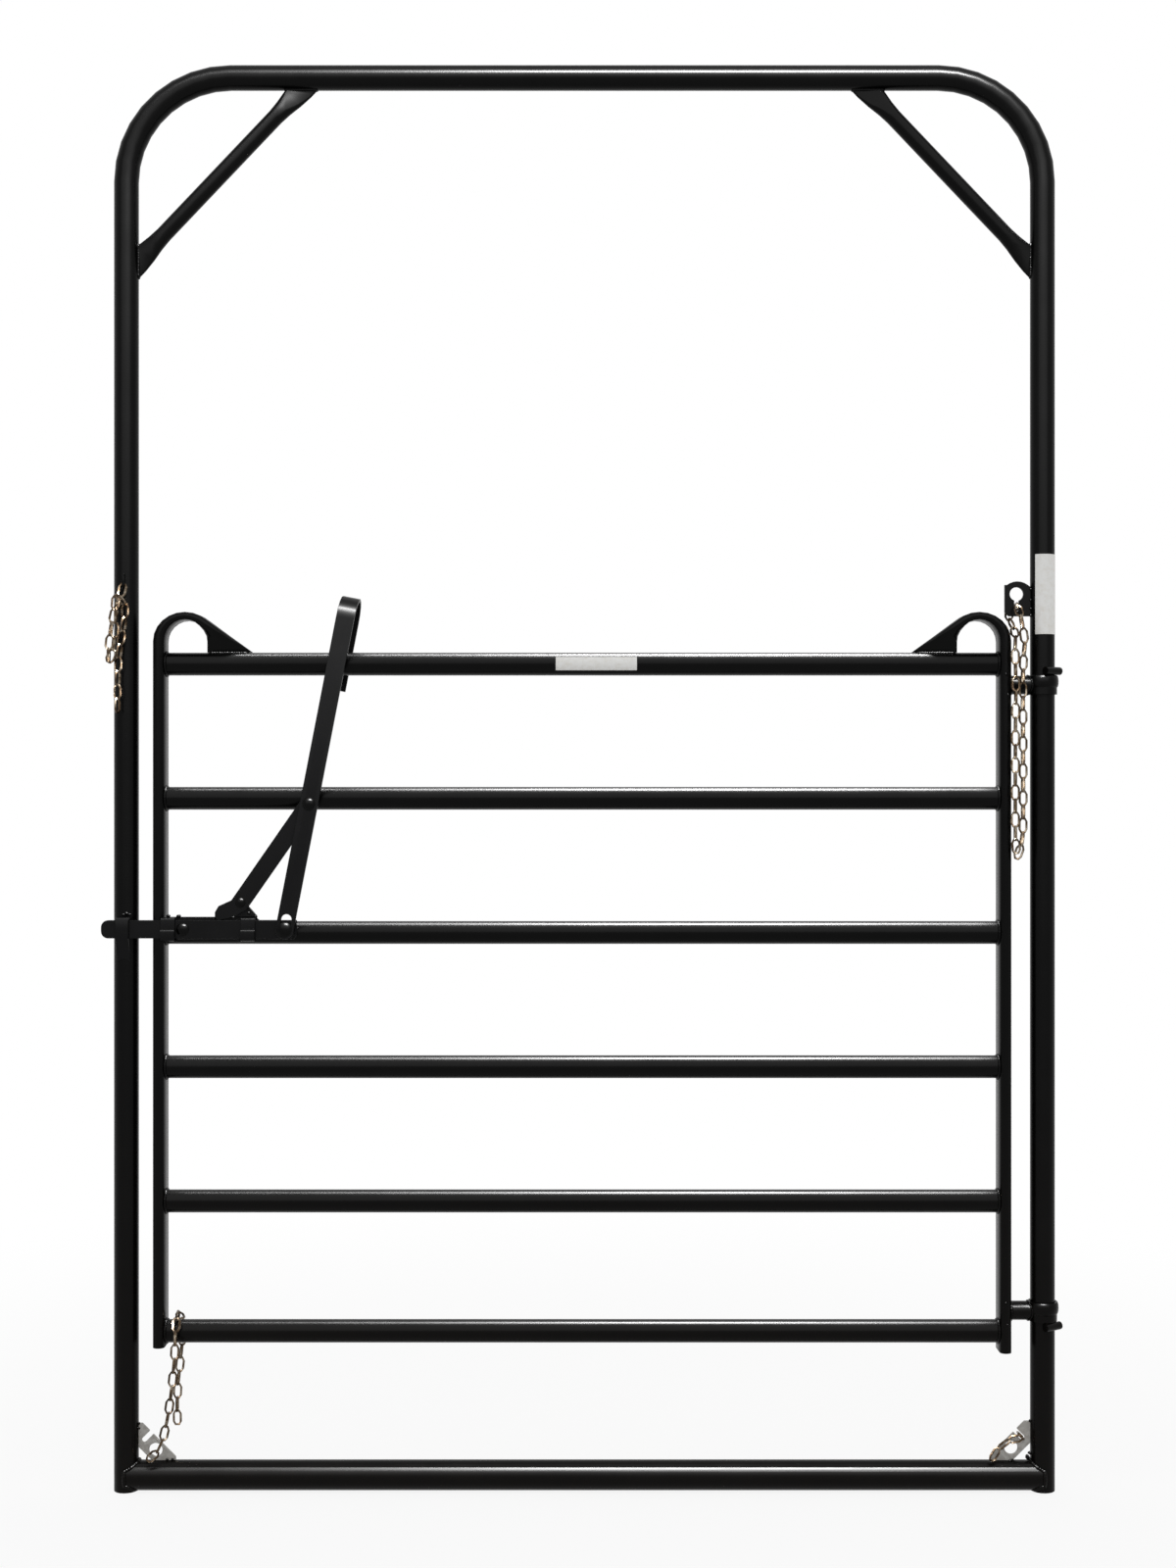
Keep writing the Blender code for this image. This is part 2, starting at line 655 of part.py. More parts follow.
def build_link(parent):
    """The flat strap from the ear up to the fulcrum, with a foot that turns out along the bolt."""
    up = Vector((FULCRUM_X - EAR_PIN_X, FULCRUM_Z - EAR_PIN_Z)).normalized()
    side = Vector((-up.y, up.x))
    half = BAR_WIDTH / 2
    direction = math.degrees(math.atan2(up.y, up.x))
    pin = Vector((EAR_PIN_X, EAR_PIN_Z))
    reach, low = FOOT_REACH, FOOT_DROP
    foot = [
        (-reach * 0.36, 0.004), (-reach * 0.86, -low * 0.21), (-reach, -low * 0.55),
        (-reach, -low * 0.85), (-reach * 0.88, -low), (-reach * 0.48, -low * 0.89),
        (-reach * 0.14, -low * 0.73), (0.003, -low * 0.54),
    ]
    outline = arc(FULCRUM_X, FULCRUM_Z, half, direction - 90, direction + 90, 10)
    outline += [tuple(pin + Vector(point)) for point in foot]
    outline.append(tuple(pin - side * half - up * 0.006))
    link = add_object("latch_strap", prism(outline, LINK_FRONT_Y, LINK_BACK_Y), "coat", parent=parent)
    rivet = cylinder(
        (EAR_PIN_X, -0.1, EAR_PIN_Z), (EAR_PIN_X, 0, EAR_PIN_Z), RIVET_RADIUS + GAP, 12
    )
    fulcrum = cylinder(
        (FULCRUM_X, -0.1, FULCRUM_Z), (FULCRUM_X, 0, FULCRUM_Z), PIN_RADIUS + GAP, 16
    )
    boolean(link, add_helper("strap_rivet_hole", rivet))
    boolean(link, add_helper("strap_fulcrum_hole", fulcrum))


def domed(name, x, z, face_y, tail_y, shank, head, rise, tail_head, parent, finish="coat"):
    """A pin along Y: a domed head in front of a face, a shank, and a flatter head at the tail."""
    top = face_y - GAP
    profile = [(0, top - rise), (head * 0.45, top - rise * 0.9), (head * 0.82, top - rise * 0.55)]
    profile += [(head, top - rise * 0.12), (head, top), (shank, top)]
    if tail_head:
        low = tail_y + GAP
        profile += [(shank, low), (tail_head, low), (tail_head, low + rise * 0.6), (0, low + rise * 0.6)]
    else:
        profile += [(shank, tail_y), (0, tail_y)]
    bm = turned(profile, (x, 0, z), (0, 1, 0), 14)
    add_object(name, bm, finish, origin=(x, face_y, z), parent=parent)


def build_fulcrum(parent):
    """The carriage bolt that the lever turns on, with a thin nut behind the strap."""
    domed(
        "fulcrum_bolt", FULCRUM_X, FULCRUM_Z, LEVER_FRONT_Y, LINK_BACK_Y + NUT_HEIGHT,
        PIN_RADIUS, HEAD_RADIUS, HEAD_HEIGHT, None, parent,
    )
    nut = [
        (FULCRUM_X + NUT_FLATS / math.sqrt(3) * math.cos(math.radians(60 * i)),
         FULCRUM_Z + NUT_FLATS / math.sqrt(3) * math.sin(math.radians(60 * i)))
        for i in range(6)
    ]
    bm = prism(nut, LINK_BACK_Y + GAP, LINK_BACK_Y + GAP + NUT_HEIGHT)
    piece = add_object("fulcrum_nut", bm, "coat", parent=parent)
    hole = cylinder(
        (FULCRUM_X, -0.1, FULCRUM_Z), (FULCRUM_X, 0, FULCRUM_Z), PIN_RADIUS + GAP, 16
    )
    boolean(piece, add_helper("nut_hole", hole))


def build_lever(parent):
    """The long handle: slotted foot over the bolt's pin, and a hook folded over the top rail."""
    fulcrum = Vector((FULCRUM_X, 0, FULCRUM_Z))
    drop = PIN_DROP / math.cos(LEVER_LEAN)
    top = (LEVER_TOP_Z - FULCRUM_Z) / math.cos(LEVER_LEAN)
    half = BAR_WIDTH / 2
    bend_outer = -LEVER_FRONT_Y
    bend_inner = bend_outer - STRAP_THICK
    bend_z = top - bend_outer
    hook_z = top - LEVER_HOOK_LENGTH
    outline = [(LEVER_FRONT_Y, -drop - LEVER_END_RADIUS)]
    for i in range(9):
        angle = math.pi * (1 - i / 8)
        outline.append((bend_outer * math.cos(angle), bend_z + bend_outer * math.sin(angle)))
    outline += [(bend_outer, hook_z), (bend_inner, hook_z)]
    for i in range(9):
        angle = math.pi * i / 8
        outline.append((bend_inner * math.cos(angle), bend_z + bend_inner * math.sin(angle)))
    outline.append((LEVER_BACK_Y, -drop - LEVER_END_RADIUS))
    bm = side_prism(outline, -half, half)
    place = Matrix.Translation(fulcrum) @ Matrix.Rotation(LEVER_LEAN, 4, "Y")
    bmesh.ops.transform(bm, matrix=place, verts=bm.verts)
    lever = add_object("latch_lever", bm, "coat", origin=fulcrum, parent=parent)
    slot_top = -drop + SLOT_RISE
    foot = -drop - 0.004
    outline = arc(0, slot_top, SLOT_RADIUS, 0, 180, 8) + arc(0, foot, SLOT_RADIUS, 180, 360, 8)
    bm = prism(outline, LEVER_FRONT_Y - 0.01, LEVER_BACK_Y + 0.01)
    bmesh.ops.transform(bm, matrix=place, verts=bm.verts)
    boolean(lever, add_helper("lever_slot", bm))
    end = -drop
    cap = LEVER_END_RADIUS
    trim = arc(0, end, cap, 180, 360, 10)
    trim = [(-half - 0.01, end), *trim, (half + 0.01, end)]
    trim += [(half + 0.01, end - cap - 0.01), (-half - 0.01, end - cap - 0.01)]
    bm = prism(trim, LEVER_FRONT_Y - 0.01, LEVER_BACK_Y + 0.01)
    bmesh.ops.transform(bm, matrix=place, verts=bm.verts)
    boolean(lever, add_helper("lever_end", bm))
    hole = cylinder(
        (FULCRUM_X, LEVER_FRONT_Y - 0.01, FULCRUM_Z), (FULCRUM_X, LEVER_BACK_Y + 0.01, FULCRUM_Z),
        PIN_RADIUS + GAP, 16,
    )
    boolean(lever, add_helper("lever_hole", hole))


def build_bolt(parent):
    """The sliding bar with its round nose, drive pin and stop pin."""
    half = BAR_WIDTH / 2
    nose = BOLT_NOSE_RADIUS
    left = BOLT_TIP_X
    right = PIN_X + BOLT_HEEL
    outline = arc(left + nose, BOLT_Z + half - nose, nose, 180, 90, 5)
    outline += [(right - 0.006, BOLT_Z + half), (right, BOLT_Z + half - 0.006)]
    outline += [(right, BOLT_Z - half + 0.006), (right - 0.006, BOLT_Z - half)]
    outline += arc(left + nose, BOLT_Z - half + nose, nose, 270, 180, 5)
    bm = prism(outline, BOLT_FRONT_Y, BOLT_BACK_Y)
    bolt = add_object("latch_bolt", bm, "coat", origin=(PIN_X, BOLT_FRONT_Y, BOLT_Z), parent=parent)
    for name, x in (("drive_pin", PIN_X), ("stop_pin", STOP_PIN_X)):
        hole = cylinder((x, -0.1, BOLT_Z), (x, 0, BOLT_Z), PIN_RADIUS + GAP, 14)
        boolean(bolt, add_helper(f"{name}_hole", hole))
    domed(
        "drive_pin", PIN_X, BOLT_Z, LEVER_FRONT_Y, BOLT_BACK_Y,
        PIN_RADIUS, DRIVE_HEAD_RADIUS, HEAD_HEIGHT, None, parent,
    )
    domed(
        "stop_pin", STOP_PIN_X, BOLT_Z, BOLT_FRONT_Y, BOLT_BACK_Y,
        PIN_RADIUS, HEAD_RADIUS, HEAD_HEIGHT, None, parent,
    )


def build_keyhole_plate(bow_cutter):
    """The plate on the hinge post that the upper chain hooks into."""
    right = POST_X - POST_RADIUS * 0.7
    left = POST_X - POST_RADIUS - KEYHOLE_WIDTH
    hole_x = left + KEYHOLE_WIDTH * 0.46
    top = KEYHOLE_TOP_Z
    low = top - KEYHOLE_HEIGHT
    hole_z = top + KEYHOLE_ARCH - KEYHOLE_DROP
    outline = [(left, low + KEYHOLE_CHAMFER), (left + KEYHOLE_CHAMFER, low), (right, low)]
    outline += [(right, top - 0.003), (hole_x + 0.026, top - 0.003)]
    for i in range(7):
        share = 1 - i / 6
        x = left + 0.004 + share * (hole_x + 0.022 - left - 0.004)
        rise = KEYHOLE_ARCH * math.sin(math.pi * share) ** 0.8 if 0 < i < 6 else 0
        outline.append((x, top + rise))
    outline.append((left, top))
    half = KEYHOLE_THICK / 2
    plate = add_object("keyhole_plate", prism(outline, -half, half), "coat")
    hole = cylinder((hole_x, -0.02, hole_z), (hole_x, 0.02, hole_z), KEYHOLE_RADIUS, 20)
    slot_half = KEYHOLE_SLOT / 2
    end = hole_z - KEYHOLE_SLOT_DROP + slot_half
    slot = [(hole_x + slot_half, hole_z), (hole_x - slot_half, hole_z)]
    slot += arc(hole_x, end, slot_half, 180, 360, 6)
    boolean(plate, add_helper("keyhole_hole", hole))
    boolean(plate, add_helper("keyhole_slot", prism(slot, -0.02, 0.02)))
    boolean(plate, bow_cutter)
    return hole_x, end


def build_corner_plate(name, side, offset, bow_cutter, sill_cutter):
    """A strip across a bottom corner, with a round hole and a slot from its upper edge."""
    corner = Vector((side * (POST_X - POST_RADIUS), SILL_OD))
    along = Vector((-side, -1)).normalized()
    outward = Vector((-side, 1)).normalized()
    middle = corner + outward * (offset + CORNER_PLATE_WIDTH / 2)
    half_l, half_w = CORNER_PLATE_LENGTH / 2, CORNER_PLATE_WIDTH / 2
    clip = CORNER_PLATE_CLIP

    def place(a, b):
        return tuple(middle + along * a + outward * b)

    outline = [
        place(-half_l, -half_w), place(half_l, -half_w), place(half_l, half_w - clip),
        place(half_l - clip, half_w), place(-half_l + clip, half_w), place(-half_l, half_w - clip),
    ]
    half = CORNER_PLATE_THICK / 2
    plate = add_object(name, prism(outline, -half, half), "galvanised")
    hx, hz = place(CORNER_HOLE_SHIFT, 0.001)
    hole = cylinder((hx, -0.02, hz), (hx, 0.02, hz), CORNER_HOLE_RADIUS, 20)
    slot_half = CORNER_SLOT_WIDTH / 2
    bottom = half_w - CORNER_SLOT_DEPTH
    slot = [place(-CORNER_SLOT_SHIFT - slot_half, half_w + 0.01)]
    slot.append(place(-CORNER_SLOT_SHIFT + slot_half, half_w + 0.01))
    for a, b in arc(-CORNER_SLOT_SHIFT, bottom + slot_half, slot_half, 360, 180, 6):
        slot.append(place(a, b))
    boolean(plate, add_helper(f"{name}_hole", hole))
    boolean(plate, add_helper(f"{name}_slot", prism(slot, -0.02, 0.02)))
    boolean(plate, bow_cutter)
    boolean(plate, sill_cutter)
    return place(-CORNER_SLOT_SHIFT, bottom + slot_half)


def chain_curve(points, steps=12):
    """A smooth curve through a route's points."""
    points = [Vector(p) for p in points]
    padded = [points[0] * 2 - points[1], *points, points[-1] * 2 - points[-2]]
    curve = []
    for a, b, c, d in zip(padded, padded[1:], padded[2:], padded[3:]):
        for i in range(steps):
            t = i / steps
            curve.append(
                ((b * 2) + (c - a) * t + (a * 2 - b * 5 + c * 4 - d) * t * t
                 + (b * 3 - a - c * 3 + d) * t * t * t) / 2
            )
    curve.append(points[-1])
    return curve


def chain_joints(route):
    """Places along a route where one link meets the next, a pitch apart in a straight line."""
    curve = chain_curve(route)
    joints = [curve[0]]
    for point in curve[1:]:
        while (point - joints[-1]).length >= LINK_PITCH:
            joints.append(joints[-1] + (point - joints[-1]).normalized() * LINK_PITCH)
    return joints


def link_shape(bm, start, end, side):
    """One welded link: a wire of few sides round a stadium that is wide along `side`."""
    along = (end - start).normalized()
    flat = along.cross(side)
    centre = (start + end) / 2
    end_radius = (LINK_WIDTH - LINK_WIRE) / 2
    straight = (LINK_LENGTH - LINK_WIRE) / 2 - end_radius
    rings = []
    for sign in (1, -1):
        for i in range(LINK_END_STEPS + 1):
            angle = math.pi * i / LINK_END_STEPS
            out = (side * math.cos(angle) + along * math.sin(angle)) * sign
            middle = centre + along * straight * sign + out * end_radius
            rings.append(round_ring(middle, out, flat, LINK_WIRE / 2 * 1.06, LINK_SIDES))
    skin(bm, rings, closed=True)


def build_chain(name, routes, side=(1, 0, 0), turns=(0, 0), parent=None):
    """A chain along its routes, each link turned a quarter from the last and bitten into it."""
    sets = []
    count = 0
    for route, first_turn in zip(routes, turns):
        joints = chain_joints(route)
        meshes = [bmesh.new(), bmesh.new()]
        across = Vector(side).normalized()
        for number, (a, b) in enumerate(zip(joints, joints[1:])):
            along = (b - a).normalized()
            across = (across - along * across.dot(along)).normalized()
            turned_side = along.cross(across) if (number + first_turn) % 2 else across
            link_shape(meshes[number % 2], a, b, turned_side)
        sets += meshes
        count += len(joints) - 1
    chain = add_object(name, sets[0], "zinc", origin=routes[0][0], parent=parent)
    for number, mesh in enumerate(sets[1:], 1):
        boolean(chain, add_helper(f"{name}_links_{number}", mesh), "UNION")
    print(name, "has", count, "links")


def build_hinge_chain(hook_x, slot_end):
    """The chain that hangs doubled: one end hooked in the keyhole's slot, the other behind the plate."""
    seat = slot_end - KEYHOLE_SLOT / 2 + LINK_WIDTH / 2 + GAP
    half = LINK_PITCH / 2
    low = seat - HANGING_DROP
    middle = (seat + low) / 2
    x, y = hook_x + STRAND_SHIFT, -HINGE_ARM_OD / 2 - LINK_WIDTH / 2 - 0.002
    turn_x = x - STRAND_PITCH * 0.75
    hooked = [
        (hook_x, half, seat), (hook_x, -half, seat), (hook_x + 0.002, y, seat - 0.018),
        (x, y - 0.007, seat - 0.055), (x + 0.004, y - 0.002, seat - 0.085),
        (x, y, seat - 0.115), (x, y, middle), (x, y, low + LINK_PITCH * 3),
        (x - 0.003, y, low + LINK_PITCH * 1.6), (turn_x, y, low + LINK_PITCH * 0.8), (turn_x, y, low),
    ]
    x, y = x - STRAND_PITCH, y - STRAND_STEP
    plate_low = KEYHOLE_TOP_Z - KEYHOLE_HEIGHT
    fixed = [
        (x - 0.004, KEYHOLE_THICK / 2 + LINK_WIRE * 0.8, plate_low + 0.020),
        (x - 0.004, KEYHOLE_THICK / 2 + LINK_WIRE, plate_low - 0.005),
        (x + 0.001, y * 0.25, plate_low - 0.020), (x + 0.003, y * 0.7, plate_low - 0.036),
        (x - 0.001, y, plate_low - 0.056), (x + 0.001, y, plate_low - 0.140),
        (x, y, middle), (x, y, low + LINK_PITCH * 2.2),
        (turn_x, y + STRAND_STEP, low + LINK_PITCH * 0.9),
    ]
    build_chain("hinge_chain", [hooked, fixed], turns=(1, 0))


def build_chain_eye(bow_cutter):
    """A wire staple welded upright on the latch post's front."""
    y = -POST_RADIUS - EYE_WIRE * 0.35
    bm = bmesh.new()
    rings = []
    radius = EYE_WIDTH / 2
    steps = 6
    points = [(Vector((-POST_X, y + 0.004, EYE_Z - EYE_HEIGHT / 2)), Vector((0, 0, -1)))]
    for i in range(steps + 1):
        angle = -math.pi / 2 + math.pi * i / steps
        out = Vector((0, -math.cos(angle), math.sin(angle)))
        middle = Vector((-POST_X, y, EYE_Z)) + Vector((0, out.y * radius, out.z * EYE_HEIGHT / 2))
        points.append((middle, out))
    points.append((Vector((-POST_X, y + 0.004, EYE_Z + EYE_HEIGHT / 2)), Vector((0, 0, 1))))
    side = Vector((1, 0, 0))
    for middle, out in points:
        rings.append(round_ring(middle, out, side, EYE_WIRE / 2, 8))
    made = skin(bm, rings)
    bm.faces.new(made[0])
    bm.faces.new(made[-1])
    eye = add_object("chain_eye", bm, "coat")
    boolean(eye, bow_cutter)


def build_chains(hook_x, hook_z, gate):
    """The four chains, stowed as they hang when the gate is delivered."""
    build_hinge_chain(hook_x, hook_z)
    x, z = -POST_X, EYE_Z - EYE_HEIGHT / 2
    near, far = -POST_RADIUS - 0.012, -POST_RADIUS - 0.031
    wire = LINK_WIRE / 2
    hang = z + EYE_WIRE / 2 + wire * 2 + GAP
    stowed = [
        (x, -POST_RADIUS - wire * 1.3, hang), (x - 0.003, near + 0.001, hang - 0.024),
        (x - 0.014, near, z - 0.040), (x - 0.023, near, z - 0.085), (x - 0.026, near - 0.004, z - 0.130),
        (x - 0.022, near - 0.014, z - 0.152), (x - 0.014, far, z - 0.138),
        (x - 0.010, far, z - 0.090), (x - 0.009, far, z - 0.030), (x - 0.004, far + 0.004, z - 0.002),
        (x + 0.004, near - 0.004, z - 0.006), (x + 0.006, near, z - 0.030),
        (x + 0.003, near, z - 0.070), (x - 0.004, near - 0.002, z - 0.110),
        (x - 0.008, near - 0.004, z - 0.160), (x - 0.009, near - 0.004, z - 0.242),
    ]
    build_chain("latch_chain", [stowed])
    rail_z = RAIL_ZS[-1]
    over = RAIL_RADIUS + LINK_WIDTH / 2 + 0.003
    a = LATCH_STILE_X + STILE_THICK / 2
    post = -POST_X + POST_RADIUS
    draped = [
        (a + 0.014, over, rail_z - 0.192), (a + 0.014, over, rail_z - 0.134),
        (a + 0.018, over, rail_z - 0.084), (a + 0.023, over, rail_z - 0.038), (a + 0.024, over, rail_z),
        (a + 0.023, over * 0.7, rail_z + over * 0.72), (a + 0.022, 0, rail_z + over),
        (a + 0.023, -over * 0.7, rail_z + over * 0.72), (a + 0.024, -over, rail_z),
        (a + 0.022, -over - 0.002, rail_z - 0.050), (a + 0.018, -over - 0.003, rail_z - 0.095),
        (post + 0.066, -over - 0.003, rail_z - 0.145), (post + 0.057, -over - 0.003, rail_z - 0.190),
        (post + 0.048, -over - 0.003, rail_z - 0.218), (post + 0.031, -over, rail_z - 0.237),
        (post + 0.016, -over + 0.004, rail_z - 0.249),
    ]
    build_chain("gate_chain", [draped], parent=gate)
    slot_x, slot_z = HINGE_CORNER
    across = Vector((-1, 0, 1)).normalized() * (LINK_WIDTH / 2 - CORNER_SLOT_WIDTH / 2 + GAP)
    seat_x, seat_z = slot_x + across.x, slot_z + across.z
    half = LINK_PITCH / 2
    short = [
        (seat_x, half, seat_z), (seat_x, -half, seat_z),
        (seat_x - 0.019, -half - 0.003, seat_z), (seat_x - 0.041, -half - 0.004, seat_z - 0.015),
        (seat_x - 0.059, -half - 0.006, seat_z - 0.032), (seat_x - 0.064, -half - 0.014, seat_z - 0.054),
    ]
    build_chain("corner_chain", [short], side=(-1, 0, -1), turns=(1,))


clear_scene()
FINISHES = {
    "coat": make_material("coat", (0.012, 0.012, 0.013), 0.35, 0.0),
    "galvanised": make_material("galvanised", (0.42, 0.41, 0.40), 0.5, 0.9),
    "zinc": make_material("zinc", (0.55, 0.45, 0.28), 0.3, 1.0),
}
gate_pivot = add_empty("gate_pivot", (POST_X, 0, 0))
lever_pivot = add_empty("lever_pivot", (FULCRUM_X, 0, FULCRUM_Z))
bolt_slide = add_empty("bolt_slide", (PIN_X, 0, BOLT_Z))

BOW_CUTTER = build_bow()
SILL_CUTTER = build_sill(BOW_CUTTER)
build_brace("brace_left", -1, BOW_CUTTER)
build_brace("brace_right", 1, BOW_CUTTER)
build_rails(gate_pivot)
build_stile("gate_stile_latch", LATCH_STILE_X, 1, LATCH_STILE_TAIL, gate_pivot)
build_stile("gate_stile_hinge", HINGE_STILE_X, -1, HINGE_STILE_TAIL, gate_pivot)
build_hinge("hinge_upper", UPPER_HINGE_Z, gate_pivot)
build_hinge("hinge_lower", LOWER_HINGE_Z, gate_pivot)
build_stop("hinge_stop_upper", UPPER_HINGE_Z + (COLLAR_HEIGHT + STOP_OD) / 2 + GAP, BOW_CUTTER)
build_stop("hinge_stop_lower", LOWER_HINGE_Z - (COLLAR_HEIGHT + STOP_OD) / 2 - GAP, BOW_CUTTER)
build_keeper(BOW_CUTTER)
build_back_plate(gate_pivot)
build_guide("bolt_guide_left", LEFT_GUIDE_X, gate_pivot)
build_guide("bolt_guide_right", RIGHT_GUIDE_X, gate_pivot)
build_ear(gate_pivot)
build_link(gate_pivot)
domed(
    "ear_rivet", EAR_PIN_X, EAR_PIN_Z, LINK_FRONT_Y, EAR_BACK_Y,
    RIVET_RADIUS, RIVET_HEAD_RADIUS, RIVET_HEAD_HEIGHT, RIVET_HEAD_RADIUS, gate_pivot,
)
build_fulcrum(gate_pivot)
build_lever(lever_pivot)
build_bolt(bolt_slide)
HOOK = build_keyhole_plate(BOW_CUTTER)
build_corner_plate("corner_plate_latch", -1, LATCH_CORNER_OFFSET, BOW_CUTTER, SILL_CUTTER)
HINGE_CORNER = build_corner_plate(
    "corner_plate_hinge", 1, HINGE_CORNER_OFFSET, BOW_CUTTER, SILL_CUTTER
)
build_chain_eye(BOW_CUTTER)
build_chains(*HOOK, gate_pivot)
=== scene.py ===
"""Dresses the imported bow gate: black powder coat, zinc chain, weld beads and blank labels."""

import json
import logging
import math
import random
from collections.abc import Sequence
from dataclasses import dataclass
from enum import Enum
from typing import ClassVar

import bmesh
import bpy
from mathutils import Matrix, Vector

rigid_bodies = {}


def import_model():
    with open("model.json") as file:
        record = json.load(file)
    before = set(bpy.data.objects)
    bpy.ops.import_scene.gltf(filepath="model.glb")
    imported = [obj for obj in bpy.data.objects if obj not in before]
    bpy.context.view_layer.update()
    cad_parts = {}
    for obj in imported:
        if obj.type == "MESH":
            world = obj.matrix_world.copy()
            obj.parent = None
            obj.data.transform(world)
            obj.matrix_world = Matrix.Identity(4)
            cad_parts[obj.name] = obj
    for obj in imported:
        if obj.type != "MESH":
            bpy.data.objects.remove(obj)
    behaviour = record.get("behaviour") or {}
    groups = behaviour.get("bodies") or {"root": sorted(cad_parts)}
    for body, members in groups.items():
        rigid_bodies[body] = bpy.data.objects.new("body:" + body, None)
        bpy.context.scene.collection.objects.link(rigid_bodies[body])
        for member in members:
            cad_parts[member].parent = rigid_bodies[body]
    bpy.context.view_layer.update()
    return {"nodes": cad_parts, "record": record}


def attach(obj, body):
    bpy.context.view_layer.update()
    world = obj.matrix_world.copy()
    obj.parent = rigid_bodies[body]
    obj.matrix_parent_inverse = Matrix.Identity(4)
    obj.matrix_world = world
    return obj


# Blender's own start-up cube, lamp and camera go first
for leftover in list(bpy.data.objects):
    bpy.data.objects.remove(leftover)
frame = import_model()

log = logging.getLogger("bow_gate")
MM = 0.001
WHITE = "#ffffff"
SHARP_FROM_DEG = 50
# Everything that rides on a body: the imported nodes, and then each piece made here
PIECES = list(frame["nodes"].values())

# x, y and z in metres, and for a spot of weld its radius too
Place = tuple[float, float, float]
Spot = tuple[float, float, float, float]


class Body(Enum):
    """The bodies that the made pieces ride on."""

    FRAME = "frame"
    GATE = "gate"


class Slot(Enum):
    """The record's material slots."""

    COAT = "black_coat"
    GALVANISED = "galvanised_steel"
    CHAIN = "zinc_chain"


class Word(Enum):
    """An option whose name goes into the names of pieces."""

    @property
    def word(self) -> str:
        """The option as a piece's name has it."""
        return self.name.lower()


class Side(Word):
    """A side of the gate, by the sign of x."""

    LATCH = -1
    HINGE = 1


class Face(Word):
    """A face of the gate, by the sign of y."""

    FRONT = -1
    REAR = 1


class BraceEnd(Word):
    """An end of a brace: on the post, or under the top tube."""

    LOW = 0
    HIGH = 1


class Run(Enum):
    """Which way the tube under a label runs."""

    ACROSS = "x"
    UPRIGHT = "z"


class Lit(Enum):
    """Which pieces a lamp lights, by the name of their collection."""

    RAILS = "lit_rails"
    FRONT = "lit_front"
    CHAINS = "lit_chains"
    ALL = "lit_all"


def linear(code: str) -> tuple[float, float, float, float]:
    """Turns an sRGB hex colour into linear RGBA.

    Args:
        code: six hex digits after a hash sign.

    Returns:
        The colour as Blender's sockets take it.
    """
    parts = [int(code[i : i + 2], 16) / 255 for i in (1, 3, 5)]
    r, g, b = (c / 12.92 if c <= 0.04045 else ((c + 0.055) / 1.055) ** 2.4 for c in parts)
    return r, g, b, 1.0


def angles(count: int) -> list[float]:
    """Angles spaced evenly round a circle."""
    return [2 * math.pi * i / count for i in range(count)]


def add_node(
    tree: bpy.types.NodeTree,
    kind: str,
    inputs: dict[str | int, object] | None = None,
    stops: Sequence[tuple[float, str]] = (),
    **settings: object,
) -> bpy.types.Node:
    """Adds a node with its settings and links.

    Args:
        tree: the tree that takes it.
        kind: Blender's name for the node type.
        inputs: socket name or number to a value, or to the output socket that feeds it.
        stops: on a colour ramp, places from 0 to 1, each with its hex colour.
        settings: properties of the node itself.

    Returns:
        The new node.
    """
    node = tree.nodes.new(kind)
    for name, value in settings.items():
        setattr(node, name, value)
    for i, (place, code) in enumerate(stops):
        elements = node.color_ramp.elements
        element = elements[i] if i < len(elements) else elements.new(1.0)
        element.position = place
        element.color = linear(code)
    for name, value in (inputs or {}).items():
        if isinstance(value, bpy.types.NodeSocket):
            tree.links.new(value, node.inputs[name])
        else:
            node.inputs[name].default_value = value
    return node


def rays_that_see(tree: bpy.types.NodeTree) -> bpy.types.NodeSocket:
    """Picks out the rays that show a backdrop: the camera's, and those off gloss or through glass.

    Args:
        tree: the tree to add to.

    Returns:
        The socket that holds 1 for those rays and 0 for the rest.
    """
    rays = add_node(tree, "ShaderNodeLightPath").outputs
    gloss = add_node(
        tree, "ShaderNodeMath",
        {0: rays["Is Glossy Ray"], 1: rays["Is Transmission Ray"]}, operation="MAXIMUM",
    ).outputs["Value"]
    return add_node(
        tree, "ShaderNodeMath", {0: rays["Is Camera Ray"], 1: gloss}, operation="MAXIMUM"
    ).outputs["Value"]


@dataclass(frozen=True)
class Finish:
    """A finish, painted by nodes from the piece's own coordinates."""

    name: str = "finish"
    roughness: float = 0.5
    # Shares of the roughness, from the smoothest places to the dullest
    rough_shares: tuple[float, float] = (1.0, 1.0)

    @property
    def rough_range(self) -> dict[str, float]:
        """The roughness at both ends of a pattern, as a map range takes it."""
        low, high = self.rough_shares
        return {"To Min": self.roughness * low, "To Max": self.roughness * high}

    def make(self) -> bpy.types.Material:
        """Builds the material.

        Returns:
            The material of this finish.
        """
        material = bpy.data.materials.new(self.name)
        material.use_nodes = True
        tree = material.node_tree
        tree.nodes.clear()
        place = add_node(tree, "ShaderNodeTexCoord").outputs["Object"]
        add_node(tree, "ShaderNodeOutputMaterial", {"Surface": self.surface(tree, place)})
        return material

    def surface(
        self, tree: bpy.types.NodeTree, place: bpy.types.NodeSocket
    ) -> bpy.types.NodeSocket:
        """Adds the nodes of the finish, which each kind of finish says for itself.

        Args:
            tree: the material's tree.
            place: the piece's own coordinates.

        Returns:
            The shader's output.
        """
        raise NotImplementedError


